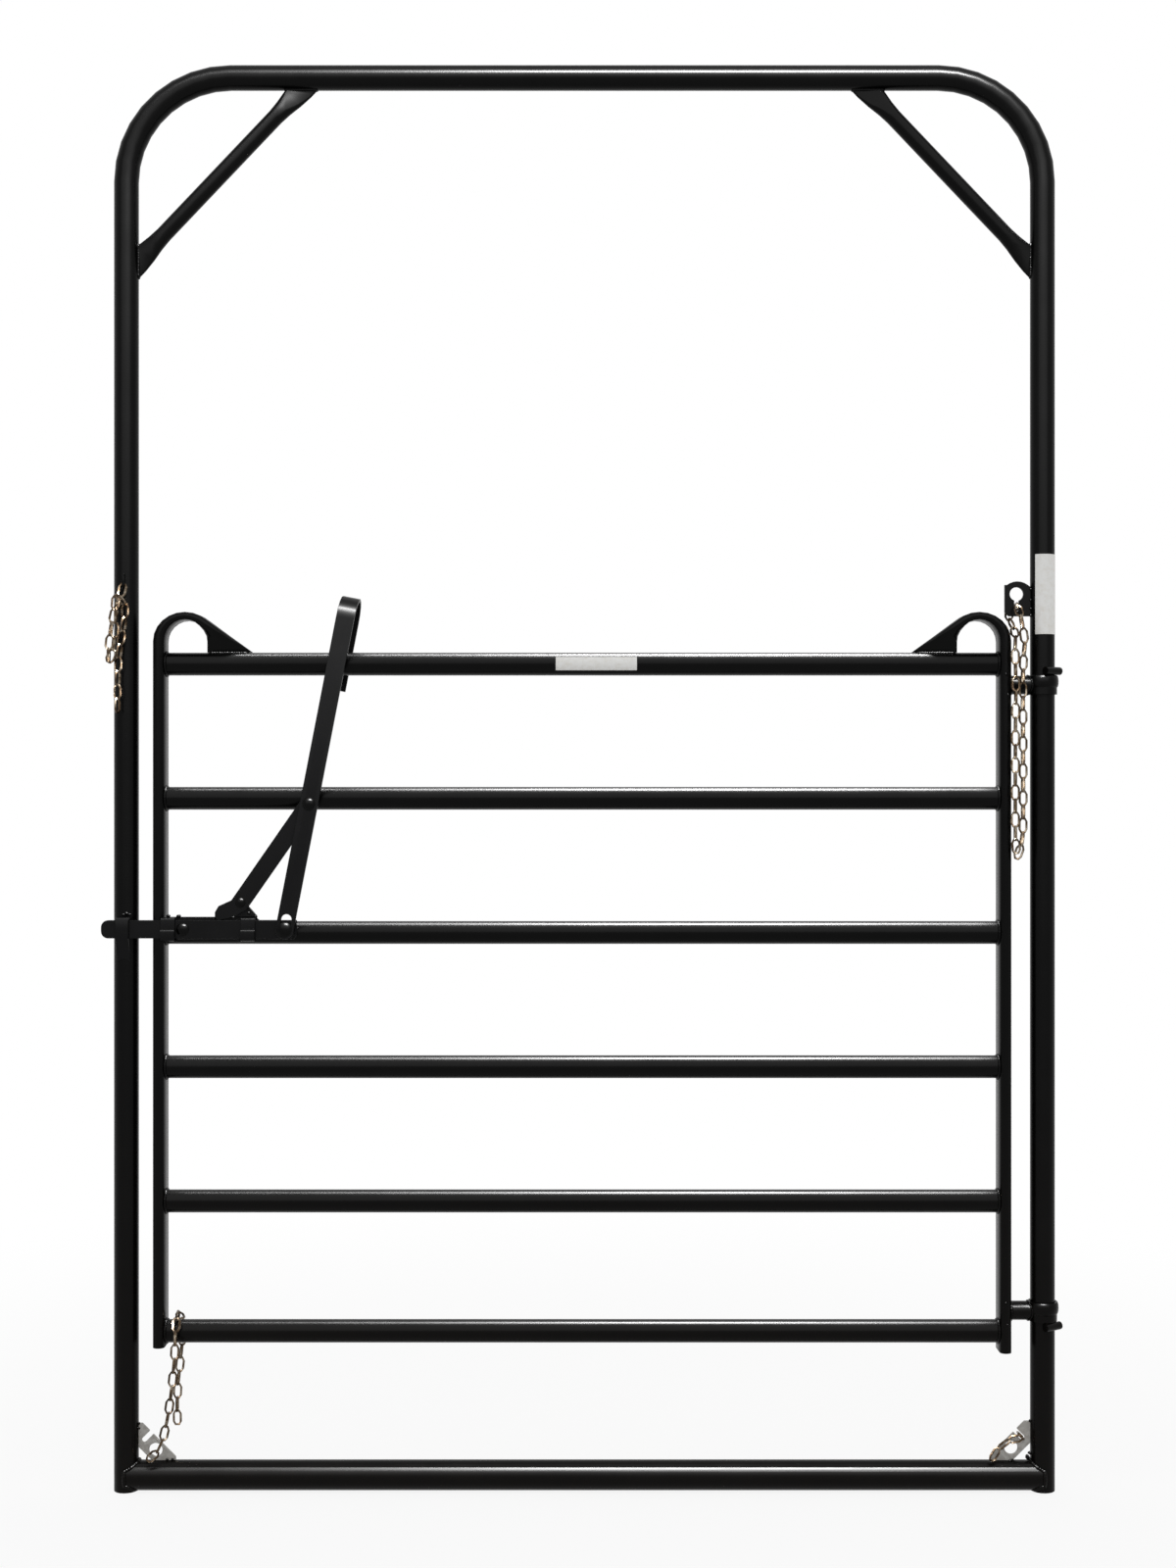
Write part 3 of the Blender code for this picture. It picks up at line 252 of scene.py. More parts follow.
@dataclass(frozen=True)
class PowderCoat(Finish):
    """Black polyester powder coat, baked on: near-black, satin gloss, with a fine orange peel."""

    name: str = "satin_black_powder_coat"
    base: str = "#020202"
    cloudy: str = "#030303"
    # Warm brown towards the ground: dust, and a painted reflection of a brown floor
    dust: str = "#17110b"
    ior: float = 1.5
    # Low, because a white studio on all sides turns a fuller gloss grey
    specular: float = 0.07
    roughness: float = 0.26
    rough_shares: tuple[float, float] = (0.85, 1.2)
    cloud_mm: float = 90.0
    cloud_stops: tuple[float, float] = (0.35, 0.75)
    speck_mm: float = 14.0
    dust_reach_m: float = 0.9
    dust_share: float = 0.4
    # 1 to 3 mm on the real coat, and drawn at the coarse end to show
    peel_mm: float = 3.0
    peel_depth_mm: float = 0.04
    peel_strength: float = 0.02

    def surface(
        self, tree: bpy.types.NodeTree, place: bpy.types.NodeSocket
    ) -> bpy.types.NodeSocket:
        """Adds the nodes of the coat.

        Args:
            tree: the material's tree.
            place: the piece's own coordinates.

        Returns:
            The shader's output.
        """
        # Slight clouding where the powder lay thicker
        cloud = add_node(
            tree, "ShaderNodeTexNoise",
            {"Vector": place, "Scale": 1 / (self.cloud_mm * MM), "Detail": 3.0, "Roughness": 0.55},
        ).outputs["Fac"]
        body = add_node(
            tree, "ShaderNodeValToRGB", {0: cloud},
            stops=list(zip(self.cloud_stops, (self.base, self.cloudy))),
        ).outputs["Color"]
        # Towards the ground the black turns warm brown in specks: yard dust, and a painted
        # reflection of a brown floor
        height = add_node(tree, "ShaderNodeSeparateXYZ", {0: place}).outputs["Z"]
        low = add_node(
            tree, "ShaderNodeMapRange",
            {"Value": height, "From Min": self.dust_reach_m, "From Max": 0.0,
             "To Min": 0.0, "To Max": self.dust_share},
        ).outputs["Result"]
        speck = add_node(
            tree, "ShaderNodeTexNoise",
            {"Vector": place, "Scale": 1 / (self.speck_mm * MM), "Detail": 6.0, "Roughness": 0.7},
        ).outputs["Fac"]
        dust_and_reflection_mask = add_node(
            tree, "ShaderNodeMath", {0: low, 1: speck}, operation="MULTIPLY"
        ).outputs["Value"]
        colour = add_node(
            tree, "ShaderNodeMix",
            {"Factor": dust_and_reflection_mask, 6: body, 7: linear(self.dust)}, data_type="RGBA",
        ).outputs[2]
        peel = add_node(
            tree, "ShaderNodeTexNoise",
            {"Vector": place, "Scale": 1 / (self.peel_mm * MM), "Detail": 2.0, "Roughness": 0.5},
        ).outputs["Fac"]
        bump = add_node(
            tree, "ShaderNodeBump",
            {"Height": peel, "Strength": self.peel_strength, "Distance": self.peel_depth_mm * MM},
        ).outputs["Normal"]
        rough = add_node(
            tree, "ShaderNodeMapRange", {"Value": cloud, **self.rough_range}
        ).outputs["Result"]
        return add_node(
            tree, "ShaderNodeBsdfPrincipled",
            {"Base Color": colour, "Roughness": rough, "IOR": self.ior, "Normal": bump,
             "Specular IOR Level": self.specular},
        ).outputs["BSDF"]


@dataclass(frozen=True)
class GalvanisedPlate(Finish):
    """Hot-dip galvanised steel plate, weathered: dull grey zinc with soft spangle and rust."""

    name: str = "weathered_galvanised_steel"
    light: str = "#a3a19d"
    dark: str = "#8d8a85"
    stain: str = "#5a4a38"
    metallic: float = 0.25
    roughness: float = 0.48
    rough_shares: tuple[float, float] = (0.8, 1.4)
    spangle_mm: float = 7.0
    smear_mm: float = 18.0
    rust_stops: tuple[float, float] = (0.56, 0.74)
    rust_share: float = 0.75
    pit_depth_mm: float = 0.4
    pit_strength: float = 0.25

    def surface(
        self, tree: bpy.types.NodeTree, place: bpy.types.NodeSocket
    ) -> bpy.types.NodeSocket:
        """Adds the nodes of the zinc and its rust.

        Args:
            tree: the material's tree.
            place: the piece's own coordinates.

        Returns:
            The shader's output.
        """
        spangle = add_node(
            tree, "ShaderNodeTexVoronoi",
            {"Vector": place, "Scale": 1 / (self.spangle_mm * MM), "Randomness": 1.0},
        ).outputs["Color"]
        tone = add_node(tree, "ShaderNodeSeparateXYZ", {0: spangle}).outputs["X"]
        zinc = add_node(
            tree, "ShaderNodeValToRGB", {0: tone}, stops=[(0.0, self.dark), (1.0, self.light)]
        ).outputs["Color"]
        smear = add_node(
            tree, "ShaderNodeTexNoise",
            {"Vector": place, "Scale": 1 / (self.smear_mm * MM), "Detail": 7.0, "Roughness": 0.65},
        ).outputs["Fac"]
        rust = add_node(
            tree, "ShaderNodeMapRange",
            {"Value": smear, "From Min": self.rust_stops[0], "From Max": self.rust_stops[1],
             "To Min": 0.0, "To Max": self.rust_share},
        ).outputs["Result"]
        colour = add_node(
            tree, "ShaderNodeMix",
            {"Factor": rust, 6: zinc, 7: linear(self.stain)}, data_type="RGBA",
        ).outputs[2]
        rough = add_node(
            tree, "ShaderNodeMapRange", {"Value": smear, **self.rough_range}
        ).outputs["Result"]
        bump = add_node(
            tree, "ShaderNodeBump",
            {"Height": smear, "Strength": self.pit_strength, "Distance": self.pit_depth_mm * MM},
        ).outputs["Normal"]
        return add_node(
            tree, "ShaderNodeBsdfPrincipled",
            {"Base Color": colour, "Metallic": self.metallic, "Roughness": rough, "Normal": bump},
        ).outputs["BSDF"]


@dataclass(frozen=True)
class YellowZinc(Finish):
    """Yellow-chromate zinc plate on welded chain: bright silver that drifts to straw and rose."""

    name: str = "yellow_chromate_zinc_plate"
    silver: str = "#857a6b"
    straw: str = "#544431"
    rose: str = "#403327"
    grime: str = "#1a120a"
    metallic: float = 0.85
    roughness: float = 0.18
    rough_shares: tuple[float, float] = (0.8, 1.6)
    drift_mm: float = 16.0
    drift_stops: tuple[float, float, float] = (0.38, 0.50, 0.64)
    grime_mm: float = 3.0
    grime_stops: tuple[float, float] = (0.48, 0.68)
    grime_share: float = 0.8
    pit_depth_mm: float = 0.2
    pit_strength: float = 0.15

    def surface(
        self, tree: bpy.types.NodeTree, place: bpy.types.NodeSocket
    ) -> bpy.types.NodeSocket:
        """Adds the nodes of the plating and its grime.

        Args:
            tree: the material's tree.
            place: the piece's own coordinates.

        Returns:
            The shader's output.
        """
        # Chromate colour changes from link to link
        drift = add_node(
            tree, "ShaderNodeTexNoise",
            {"Vector": place, "Scale": 1 / (self.drift_mm * MM), "Detail": 2.0, "Roughness": 0.5},
        ).outputs["Fac"]
        plating = add_node(
            tree, "ShaderNodeValToRGB", {0: drift},
            stops=list(zip(self.drift_stops, (self.silver, self.straw, self.rose))),
        ).outputs["Color"]
        fine = add_node(
            tree, "ShaderNodeTexNoise",
            {"Vector": place, "Scale": 1 / (self.grime_mm * MM), "Detail": 4.0, "Roughness": 0.6},
        ).outputs["Fac"]
        dirt = add_node(
            tree, "ShaderNodeMapRange",
            {"Value": fine, "From Min": self.grime_stops[0], "From Max": self.grime_stops[1],
             "To Min": 0.0, "To Max": self.grime_share},
        ).outputs["Result"]
        colour = add_node(
            tree, "ShaderNodeMix",
            {"Factor": dirt, 6: plating, 7: linear(self.grime)}, data_type="RGBA",
        ).outputs[2]
        rough = add_node(
            tree, "ShaderNodeMapRange", {"Value": fine, **self.rough_range}
        ).outputs["Result"]
        bump = add_node(
            tree, "ShaderNodeBump",
            {"Height": fine, "Strength": self.pit_strength, "Distance": self.pit_depth_mm * MM},
        ).outputs["Normal"]
        return add_node(
            tree, "ShaderNodeBsdfPrincipled",
            {"Base Color": colour, "Metallic": self.metallic, "Roughness": rough, "Normal": bump},
        ).outputs["BSDF"]


@dataclass(frozen=True)
class LabelPaper(Finish):
    """Blank self-adhesive paper: matt white with faint fibre and soil."""

    name: str = "blank_paper_label"
    paper: str = "#dddddb"
    soil: str = "#cbc7be"
    roughness: float = 0.62
    # Fibres are far finer, and are drawn as clouds of this width to show
    fibre_mm: float = 9.0
    fibre_stops: tuple[float, float] = (0.45, 0.85)

    def surface(
        self, tree: bpy.types.NodeTree, place: bpy.types.NodeSocket
    ) -> bpy.types.NodeSocket:
        """Adds the nodes of the paper.

        Args:
            tree: the material's tree.
            place: the piece's own coordinates.

        Returns:
            The shader's output.
        """
        fibre = add_node(
            tree, "ShaderNodeTexNoise",
            {"Vector": place, "Scale": 1 / (self.fibre_mm * MM), "Detail": 8.0, "Roughness": 0.7},
        ).outputs["Fac"]
        colour = add_node(
            tree, "ShaderNodeValToRGB", {0: fibre},
            stops=list(zip(self.fibre_stops, (self.paper, self.soil))),
        ).outputs["Color"]
        return add_node(
            tree, "ShaderNodeBsdfPrincipled", {"Base Color": colour, "Roughness": self.roughness}
        ).outputs["BSDF"]


@dataclass(frozen=True)
class StudioFloor(Finish):
    """Pale seamless paper: white where it is seen, with the gate's shadow kept as a faint grey."""

    name: str = "pale_studio_paper"
    paper: str = "#d8d8d8"
    white_share: float = 0.88
    near_m: float = 1.0
    far_m: float = 3.0
    # The tooth of the paper is far finer, and is drawn at this width to show
    tooth_mm: float = 25.0
    roughness: float = 1.0
    rough_shares: tuple[float, float] = (0.85, 0.95)

    def surface(
        self, tree: bpy.types.NodeTree, place: bpy.types.NodeSocket
    ) -> bpy.types.NodeSocket:
        """Adds the nodes of the paper, lit and white.

        Args:
            tree: the material's tree.
            place: the floor's own coordinates.

        Returns:
            The shader's output.
        """
        tooth = add_node(
            tree, "ShaderNodeTexNoise",
            {"Vector": place, "Scale": 1 / (self.tooth_mm * MM), "Detail": 3.0},
        ).outputs["Fac"]
        rough = add_node(
            tree, "ShaderNodeMapRange", {"Value": tooth, **self.rough_range}
        ).outputs["Result"]
        lit = add_node(
            tree, "ShaderNodeBsdfPrincipled",
            {"Base Color": linear(self.paper), "Roughness": rough, "Specular IOR Level": 0.0},
        ).outputs["BSDF"]
        white = add_node(
            tree, "ShaderNodeEmission", {"Color": linear(WHITE), "Strength": 1.0}
        ).outputs["Emission"]
        # Far off the paper curves up into the white backdrop
        off = add_node(
            tree, "ShaderNodeVectorMath", {0: place}, operation="LENGTH"
        ).outputs["Value"]
        fade = add_node(
            tree, "ShaderNodeMapRange",
            {"Value": off, "From Min": self.near_m, "From Max": self.far_m,
             "To Min": self.white_share, "To Max": 1.0},
            interpolation_type="SMOOTHSTEP",
        ).outputs["Result"]
        share = add_node(
            tree, "ShaderNodeMath", {0: rays_that_see(tree), 1: fade}, operation="MULTIPLY"
        ).outputs["Value"]
        return add_node(
            tree, "ShaderNodeMixShader", {0: share, 1: lit, 2: white}
        ).outputs["Shader"]


class Finishes:
    """Every finish of the gate, made once."""

    # Sheared and folded from flat bar; their coat is painted lighter and greyer than the tubes', a
    # painted sheen for the light their flat faces catch
    FLAT_BARS: ClassVar[tuple[str, ...]] = (
        "latch_lever", "latch_strap", "latch_bolt", "latch_back_plate", "latch_ear",
        "latch_keeper", "bolt_guide_left", "bolt_guide_right",
    )

    def __init__(self) -> None:
        """Makes the materials."""
        self.coat = PowderCoat().make()
        # Lighter base than the tubes' coat: a painted sheen on the flat faces
        self.bar_coat = PowderCoat(
            name="satin_black_on_flat_bar", base="#0a0a0b", cloudy="#0f0f10", roughness=0.30
        ).make()
        self.of_slot = {
            Slot.COAT: self.coat,
            Slot.GALVANISED: GalvanisedPlate().make(),
            Slot.CHAIN: YellowZinc().make(),
        }
        self.label = LabelPaper().make()
        self.floor = StudioFloor().make()

    def of_node(self, node: str, slot: Slot) -> bpy.types.Material:
        """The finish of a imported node, by its stock and its material slot."""
        return self.bar_coat if node in self.FLAT_BARS else self.of_slot[slot]


@dataclass(frozen=True)
class CadPieces:
    """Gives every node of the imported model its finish, rounded shading and softened edges."""

    SOFT_EDGES: ClassVar[tuple[str, ...]] = (
        *Finishes.FLAT_BARS, "keyhole_plate", "corner_plate_latch", "corner_plate_hinge",
    )

    edge_width: float = 0.0008
    edge_segments: int = 2
    edge_from_deg: float = 40.0
    crease_from_deg: float = 35.0
    join_within: float = 0.00001

    def dress(self, finishes: Finishes) -> None:
        """Puts a finish on each node.

        Args:
            finishes: the materials to hand out.
        """
        slots = {
            subpart["node"]: Slot(subpart["material_slot"])
            for subpart in frame["record"]["subparts"]
        }
        rounding = self._rounding()
        for name, obj in frame["nodes"].items():
            obj.data.materials.clear()
            obj.data.materials.append(finishes.of_node(name, slots[name]))
            obj.modifiers.new("rounded_shading", "NODES").node_group = rounding
            if name in self.SOFT_EDGES:
                edge = obj.modifiers.new("soft_edges", "BEVEL")
                edge.width = self.edge_width
                edge.segments = self.edge_segments
                edge.limit_method = "ANGLE"
                edge.angle_limit = math.radians(self.edge_from_deg)
                edge.harden_normals = True
            log.info("dressed %s", name)

    def _rounding(self) -> bpy.types.NodeTree:
        """Makes a modifier's tree that joins split corners and shades shallow edges as round.

        Returns:
            The tree.
        """
        tree = bpy.data.node_groups.new("rounded_shading", "GeometryNodeTree")
        for way in ("INPUT", "OUTPUT"):
            tree.interface.new_socket("Geometry", in_out=way, socket_type="NodeSocketGeometry")
        start = add_node(tree, "NodeGroupInput").outputs[0]
        plain = add_node(
            tree, "GeometryNodeRemoveAttribute", {"Geometry": start, "Name": "custom_normal"}
        ).outputs["Geometry"]
        joined = add_node(
            tree, "GeometryNodeMergeByDistance", {"Geometry": plain, "Distance": self.join_within}
        ).outputs["Geometry"]
        smooth = add_node(
            tree, "GeometryNodeSetShadeSmooth",
            {"Geometry": joined, "Shade Smooth": True}, domain="FACE",
        ).outputs["Geometry"]
        angle = add_node(tree, "GeometryNodeInputMeshEdgeAngle").outputs["Unsigned Angle"]
        sharp = add_node(
            tree, "FunctionNodeCompare",
            {0: angle, 1: math.radians(self.crease_from_deg)}, operation="GREATER_THAN",
        ).outputs["Result"]
        creased = add_node(
            tree, "GeometryNodeSetShadeSmooth",
            {"Geometry": smooth, "Selection": sharp, "Shade Smooth": False}, domain="EDGE",
        ).outputs["Geometry"]
        add_node(tree, "NodeGroupOutput", {0: creased})
        return tree


def finish_piece(
    name: str,
    bm: bmesh.types.BMesh,
    material: bpy.types.Material,
    body: Body,
) -> None:
    """Turns a bmesh into a dressed piece that rides on a body.

    Args:
        name: the piece's name.
        bm: its shape, in the row frame; it is freed.
        material: its finish.
        body: what it rides on.
    """
    mesh = bpy.data.meshes.new(name)
    bm.to_mesh(mesh)
    bm.free()
    mesh.shade_smooth()
    mesh.set_sharp_from_angle(angle=math.radians(SHARP_FROM_DEG))
    mesh.materials.append(material)
    obj = bpy.data.objects.new(name, mesh)
    bpy.context.scene.collection.objects.link(obj)
    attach(obj, body.value)
    PIECES.append(obj)
    log.info("made %s", name)


@dataclass(frozen=True)
class Weld:
    """A run of weld: overlapping ripples of coated metal along a line."""

    STEP: ClassVar[float] = 0.0016
    SIDES: ClassVar[int] = 8
    # Radians of ripple from one ring of the bead to the next
    RIPPLE_TURN: ClassVar[float] = 2.1
    # Shares of the radius: the ripple, what chance adds, and how an open bead starts and fills
    RIPPLE: ClassVar[float] = 0.10
    CHANCE: ClassVar[float] = 0.07
    START: ClassVar[float] = 0.45
    FILL: ClassVar[float] = 0.2

    name: str
    body: Body
    path: list[Vector]
    width: float
    seed: int
    closed: bool = False

    def build(self, coat: bpy.types.Material) -> None:
        """Makes the bead.

        Args:
            coat: the finish over it.
        """
        rng = random.Random(self.seed)
        points = self._spaced()
        last = len(points) - 1
        bm = bmesh.new()
        rings = []
        for i, point in enumerate(points):
            after = points[(i + 1) % len(points)] if self.closed or i < last else point
            before = points[i - 1] if self.closed or i > 0 else point
            along = (after - before).normalized()
            across = along.orthogonal().normalized()
            deep = along.cross(across)
            ripple = 1 + self.RIPPLE * math.sin(i * self.RIPPLE_TURN)
            ripple += rng.uniform(-self.CHANCE, self.CHANCE)
            taper = 1.0 if self.closed else min(1.0, self.START + self.FILL * min(i, last - i))
            radius = self.width / 2 * ripple * taper
            rings.append(
                [
                    bm.verts.new(point + (across * math.cos(a) + deep * math.sin(a)) * radius)
                    for a in angles(self.SIDES)
                ]
            )
        pairs = list(zip(rings, rings[1:]))
        if self.closed:
            pairs.append((rings[-1], rings[0]))
        for low, high in pairs:
            turn = self._best_turn(low, high)
            for k in range(self.SIDES):
                a, b = low[k], low[(k + 1) % self.SIDES]
                c, d = high[(k + 1 + turn) % self.SIDES], high[(k + turn) % self.SIDES]
                bm.faces.new((a, b, c, d))
        if not self.closed:
            bm.faces.new(rings[0])
            bm.faces.new(rings[-1])
        bmesh.ops.recalc_face_normals(bm, faces=bm.faces)
        finish_piece(self.name, bm, coat, self.body)

    def _spaced(self) -> list[Vector]:
        """Spaces points a step apart along the path.

        Returns:
            The points, from the path's first on.
        """
        path = list(self.path)
        if self.closed:
            path.append(path[0])
        points = [path[0].copy()]
        left = self.STEP
        for a, b in zip(path, path[1:]):
            length = (b - a).length
            done = 0.0
            while length - done >= left:
                done += left
                points.append(a.lerp(b, done / length))
                left = self.STEP
            left -= length - done
        if self.closed and (points[-1] - points[0]).length < self.STEP * 0.5:
            points.pop()
        return points

    @staticmethod
    def _best_turn(low: list[bmesh.types.BMVert], high: list[bmesh.types.BMVert]) -> int:
        """How many places the next ring is turned to face the last one straight."""
        return min(range(len(low)), key=lambda turn: (low[0].co - high[turn].co).length)


@dataclass(frozen=True)
class Tacks:
    """Short lumps of weld: each a squat dome with a rippled skin, coated like the tubes."""

    SQUASH: ClassVar[tuple[float, ...]] = (1.15, 0.7, 0.85, 1)
    # Radians of ripple over a lump's radius
    RIPPLE_TURN: ClassVar[float] = 7
    # Shares of the radius: the ripple, and what chance adds
    RIPPLE: ClassVar[float] = 0.09
    CHANCE: ClassVar[float] = 0.05

    name: str
    body: Body
    spots: tuple[Spot, ...]
    seed: int
    origin: Place = (0.0, 0.0, 0.0)

    def build(self, coat: bpy.types.Material) -> None:
        """Makes the lumps in one piece.

        Args:
            coat: the finish over them.
        """
        rng = random.Random(self.seed)
        bm = bmesh.new()
        for *spot, radius in self.spots:
            made = bmesh.ops.create_icosphere(bm, subdivisions=2, radius=radius)
            lean = Matrix.Rotation(rng.uniform(0, math.pi), 4, "Y")
            place = tuple(start + step for start, step in zip(self.origin, spot))
            shape = Matrix.Translation(place) @ lean @ Matrix.Diagonal(self.SQUASH)
            phase = rng.uniform(0, 6.28)
            for vert in made["verts"]:
                ripple = self.RIPPLE * math.sin(vert.co.x / radius * self.RIPPLE_TURN + phase)
                ripple += rng.uniform(-self.CHANCE, self.CHANCE)
                vert.co *= 1 + ripple
                vert.co = shape @ vert.co
        finish_piece(self.name, bm, coat, self.body)


@dataclass(frozen=True)
class Arch:
    """The bent tube with its cross tube, braces and plates: the welds on them."""

    post_x: float = 0.8907
    post_r: float = 0.0238
    sill_r: float = 0.0285
    sill_bead: float = 0.008
    ring_points: int = 48
    # The bead's line stands off the post, just inside the tube's sides, and above the ground
    bead_off: float = 0.001
    bead_in: float = 0.99
    bead_low: float = 0.005
    top_z: float = 2.7452
    brace_drop: float = 0.381
    brace_reach: float = 0.362
    brace_half: float = 0.024
    brace_face: float = 0.0032
    brace_bead: float = 0.006
    keyhole_spots: tuple[Spot, ...] = (
        (0.8676, -0.0040, 1.7292, 0.0026), (0.8674, -0.0040, 1.6990, 0.0034),
        (0.8676, -0.0040, 1.7120, 0.0026), (0.8678, -0.0040, 1.7500, 0.0030),
    )
    latch_corner_spots: tuple[Spot, ...] = (
        (-0.8665, -0.0030, 0.1290, 0.0034), (-0.8665, -0.0030, 0.1200, 0.0030),
        (-0.8000, -0.0035, 0.0585, 0.0034), (-0.8110, -0.0035, 0.0585, 0.0030),
        (-0.8450, -0.0100, 0.0560, 0.0044), (-0.8400, -0.0120, 0.0545, 0.0036),
    )
    hinge_corner_spots: tuple[Spot, ...] = (
        (0.8665, -0.0030, 0.1350, 0.0034), (0.8665, -0.0030, 0.0720, 0.0044),
        (0.8610, -0.0035, 0.0640, 0.0050), (0.8322, -0.0060, 0.0570, 0.0040),
        (0.8270, -0.0060, 0.0570, 0.0032), (0.7880, -0.0110, 0.0550, 0.0050),
    )
    # From the middle line of the post that carries the eye
    chain_eye_spots: tuple[Spot, ...] = (
        (-0.0010, -0.0245, 1.7700, 0.0032), (-0.0030, -0.0245, 1.7485, 0.0036),
    )

    def build(self, coat: bpy.types.Material) -> None:
        """Makes the welds of the cross tube, braces, plates and chain eye.

        Args:
            coat: the finish over them.
        """
        for side in Side:
            Weld(
                f"sill_weld_{side.word}", Body.FRAME, self._sill_ring(side),
                self.sill_bead, seed=3, closed=True,
            ).build(coat)
            for end in BraceEnd:
                for face in Face:
                    Weld(
                        f"brace_weld_{side.word}_{end.word}_{face.word}", Body.FRAME,
                        self._brace_line(side, end, face), self.brace_bead, seed=5,
                    ).build(coat)
        Tacks("keyhole_tacks", Body.FRAME, self.keyhole_spots, 4).build(coat)
        Tacks("latch_corner_tacks", Body.FRAME, self.latch_corner_spots, 5).build(coat)
        Tacks("hinge_corner_tacks", Body.FRAME, self.hinge_corner_spots, 6).build(coat)
        Tacks(
            "chain_eye_tacks", Body.FRAME, self.chain_eye_spots, 9, origin=(-self.post_x, 0, 0)
        ).build(coat)

    def _sill_ring(self, side: Side) -> list[Vector]:
        """Follows the line where the cross tube, which lies on the ground, meets a post.

        Args:
            side: whose post it is.

        Returns:
            The line's points, without the first one again.
        """
        points = []
        for a in angles(self.ring_points):
            y = self.sill_r * math.sin(a)
            z = self.sill_r + self.sill_r * math.cos(a)
            reach = math.sqrt(max(self.post_r**2 - y**2, 0.0))
            x = side.value * (self.post_x - reach - self.bead_off)
            points.append(Vector((x, y * self.bead_in, max(z, self.bead_low))))
        return points

    def _brace_line(self, side: Side, end: BraceEnd, face: Face) -> list[Vector]:
        """Follows one face of a brace's flattened end, where it meets the arch.

        Args:
            side: whose brace it is.
            end: the end on the post or the one under the top tube.
            face: the face of the flattened end.

        Returns:
            The line's points.
        """
        low = Vector((side.value * self.post_x, 0, self.top_z - self.brace_drop))
        high = Vector((side.value * (self.post_x - self.brace_reach), 0, self.top_z))
        along = (high - low).normalized()
        across = along.cross(Vector((0, 1, 0)))
        points = []
        for share in (-1.0, -0.5, 0.0, 0.5, 1.0):
            line = low + across * self.brace_half * share
            if end is BraceEnd.LOW:
                t = (side.value * (self.post_x - self.post_r) - line.x) / along.x
            else:
                t = (self.top_z - self.post_r - line.z) / along.z
            points.append(line + along * t + Vector((0, face.value * self.brace_face, 0)))
        return points


@dataclass(frozen=True)
class GateLeaf:
    """The rails and stiles: the welds that join them."""

    latch_face_x: float = -0.8125
    hinge_face_x: float = 0.8037
    rail_r: float = 0.0222
    rails: tuple[float, ...] = (1.6052, 1.3442, 1.0832, 0.8222, 0.5612, 0.3086)
    rail_bead: float = 0.006
    ring_points: int = 40
    bead_off: float = 0.0005
    foot_in: float = 0.084
    foot_out: float = 0.160
    foot_half: float = 0.0075
    foot_bead: float = 0.008

    def build(self, coat: bpy.types.Material) -> None:
        """Makes a ring of weld at each end of each rail, and a line along both sides of each foot.

        Args:
            coat: the finish over them.
        """
        for number, z in enumerate(self.rails, 1):
            for side in Side:
                x = self._inwards(side, self.bead_off)
                ring = [
                    Vector((x, self.rail_r * math.sin(a), z + self.rail_r * math.cos(a)))
                    for a in angles(self.ring_points)
                ]
                Weld(
                    f"rail_weld_{number}_{side.word}", Body.GATE, ring,
                    self.rail_bead, seed=number, closed=True,
                ).build(coat)
        z = self.rails[0] + math.sqrt(self.rail_r**2 - self.foot_half**2)
        for side in Side:
            for face in Face:
                line = [
                    Vector((self._inwards(side, step), face.value * self.foot_half, z))
                    for step in (self.foot_in, self.foot_out)
                ]
                Weld(
                    f"loop_weld_{side.word}_{face.word}", Body.GATE, line, self.foot_bead, seed=9
                ).build(coat)

    def _inwards(self, side: Side, step: float) -> float:
        """The x that is a step from a stile's inner face towards the other stile."""
        face_x = self.latch_face_x if side is Side.LATCH else self.hinge_face_x
        return face_x - side.value * step


@dataclass(frozen=True)
class Latch:
    """The lever latch and its keeper: the tacks that hold its plates."""

    keeper_spots: tuple[Spot, ...] = (
        (-0.8850, -0.0255, 1.1215, 0.0052), (-0.8800, -0.0250, 1.1190, 0.0042),
        (-0.8905, -0.0255, 1.1190, 0.0040), (-0.8950, -0.0235, 1.0420, 0.0038),
    )
    guide_spots: tuple[Spot, ...] = (
        (-0.7840, -0.0270, 1.1160, 0.0045), (-0.8040, -0.0270, 1.1170, 0.0036),
        (-0.6640, -0.0270, 1.0700, 0.0036), (-0.6350, -0.0268, 1.1155, 0.0040),
        (-0.7900, -0.0268, 1.0700, 0.0034),
    )
    ear_spots: tuple[Spot, ...] = (
        (-0.6480, -0.0290, 1.1225, 0.0045), (-0.6420, -0.0285, 1.1195, 0.0044),
        (-0.6365, -0.0280, 1.1160, 0.0040), (-0.7166, -0.0270, 1.1100, 0.0034),
        (-0.7110, -0.0268, 1.1130, 0.0028),
    )

    def build(self, coat: bpy.types.Material) -> None:
        """Makes the tacks of the keeper, the guides and the ear.

        Args:
            coat: the finish over them.
        """
        Tacks("keeper_tacks", Body.FRAME, self.keeper_spots, 1).build(coat)
        Tacks("guide_tacks", Body.GATE, self.guide_spots, 2).build(coat)
        Tacks("ear_tacks", Body.GATE, self.ear_spots, 3).build(coat)


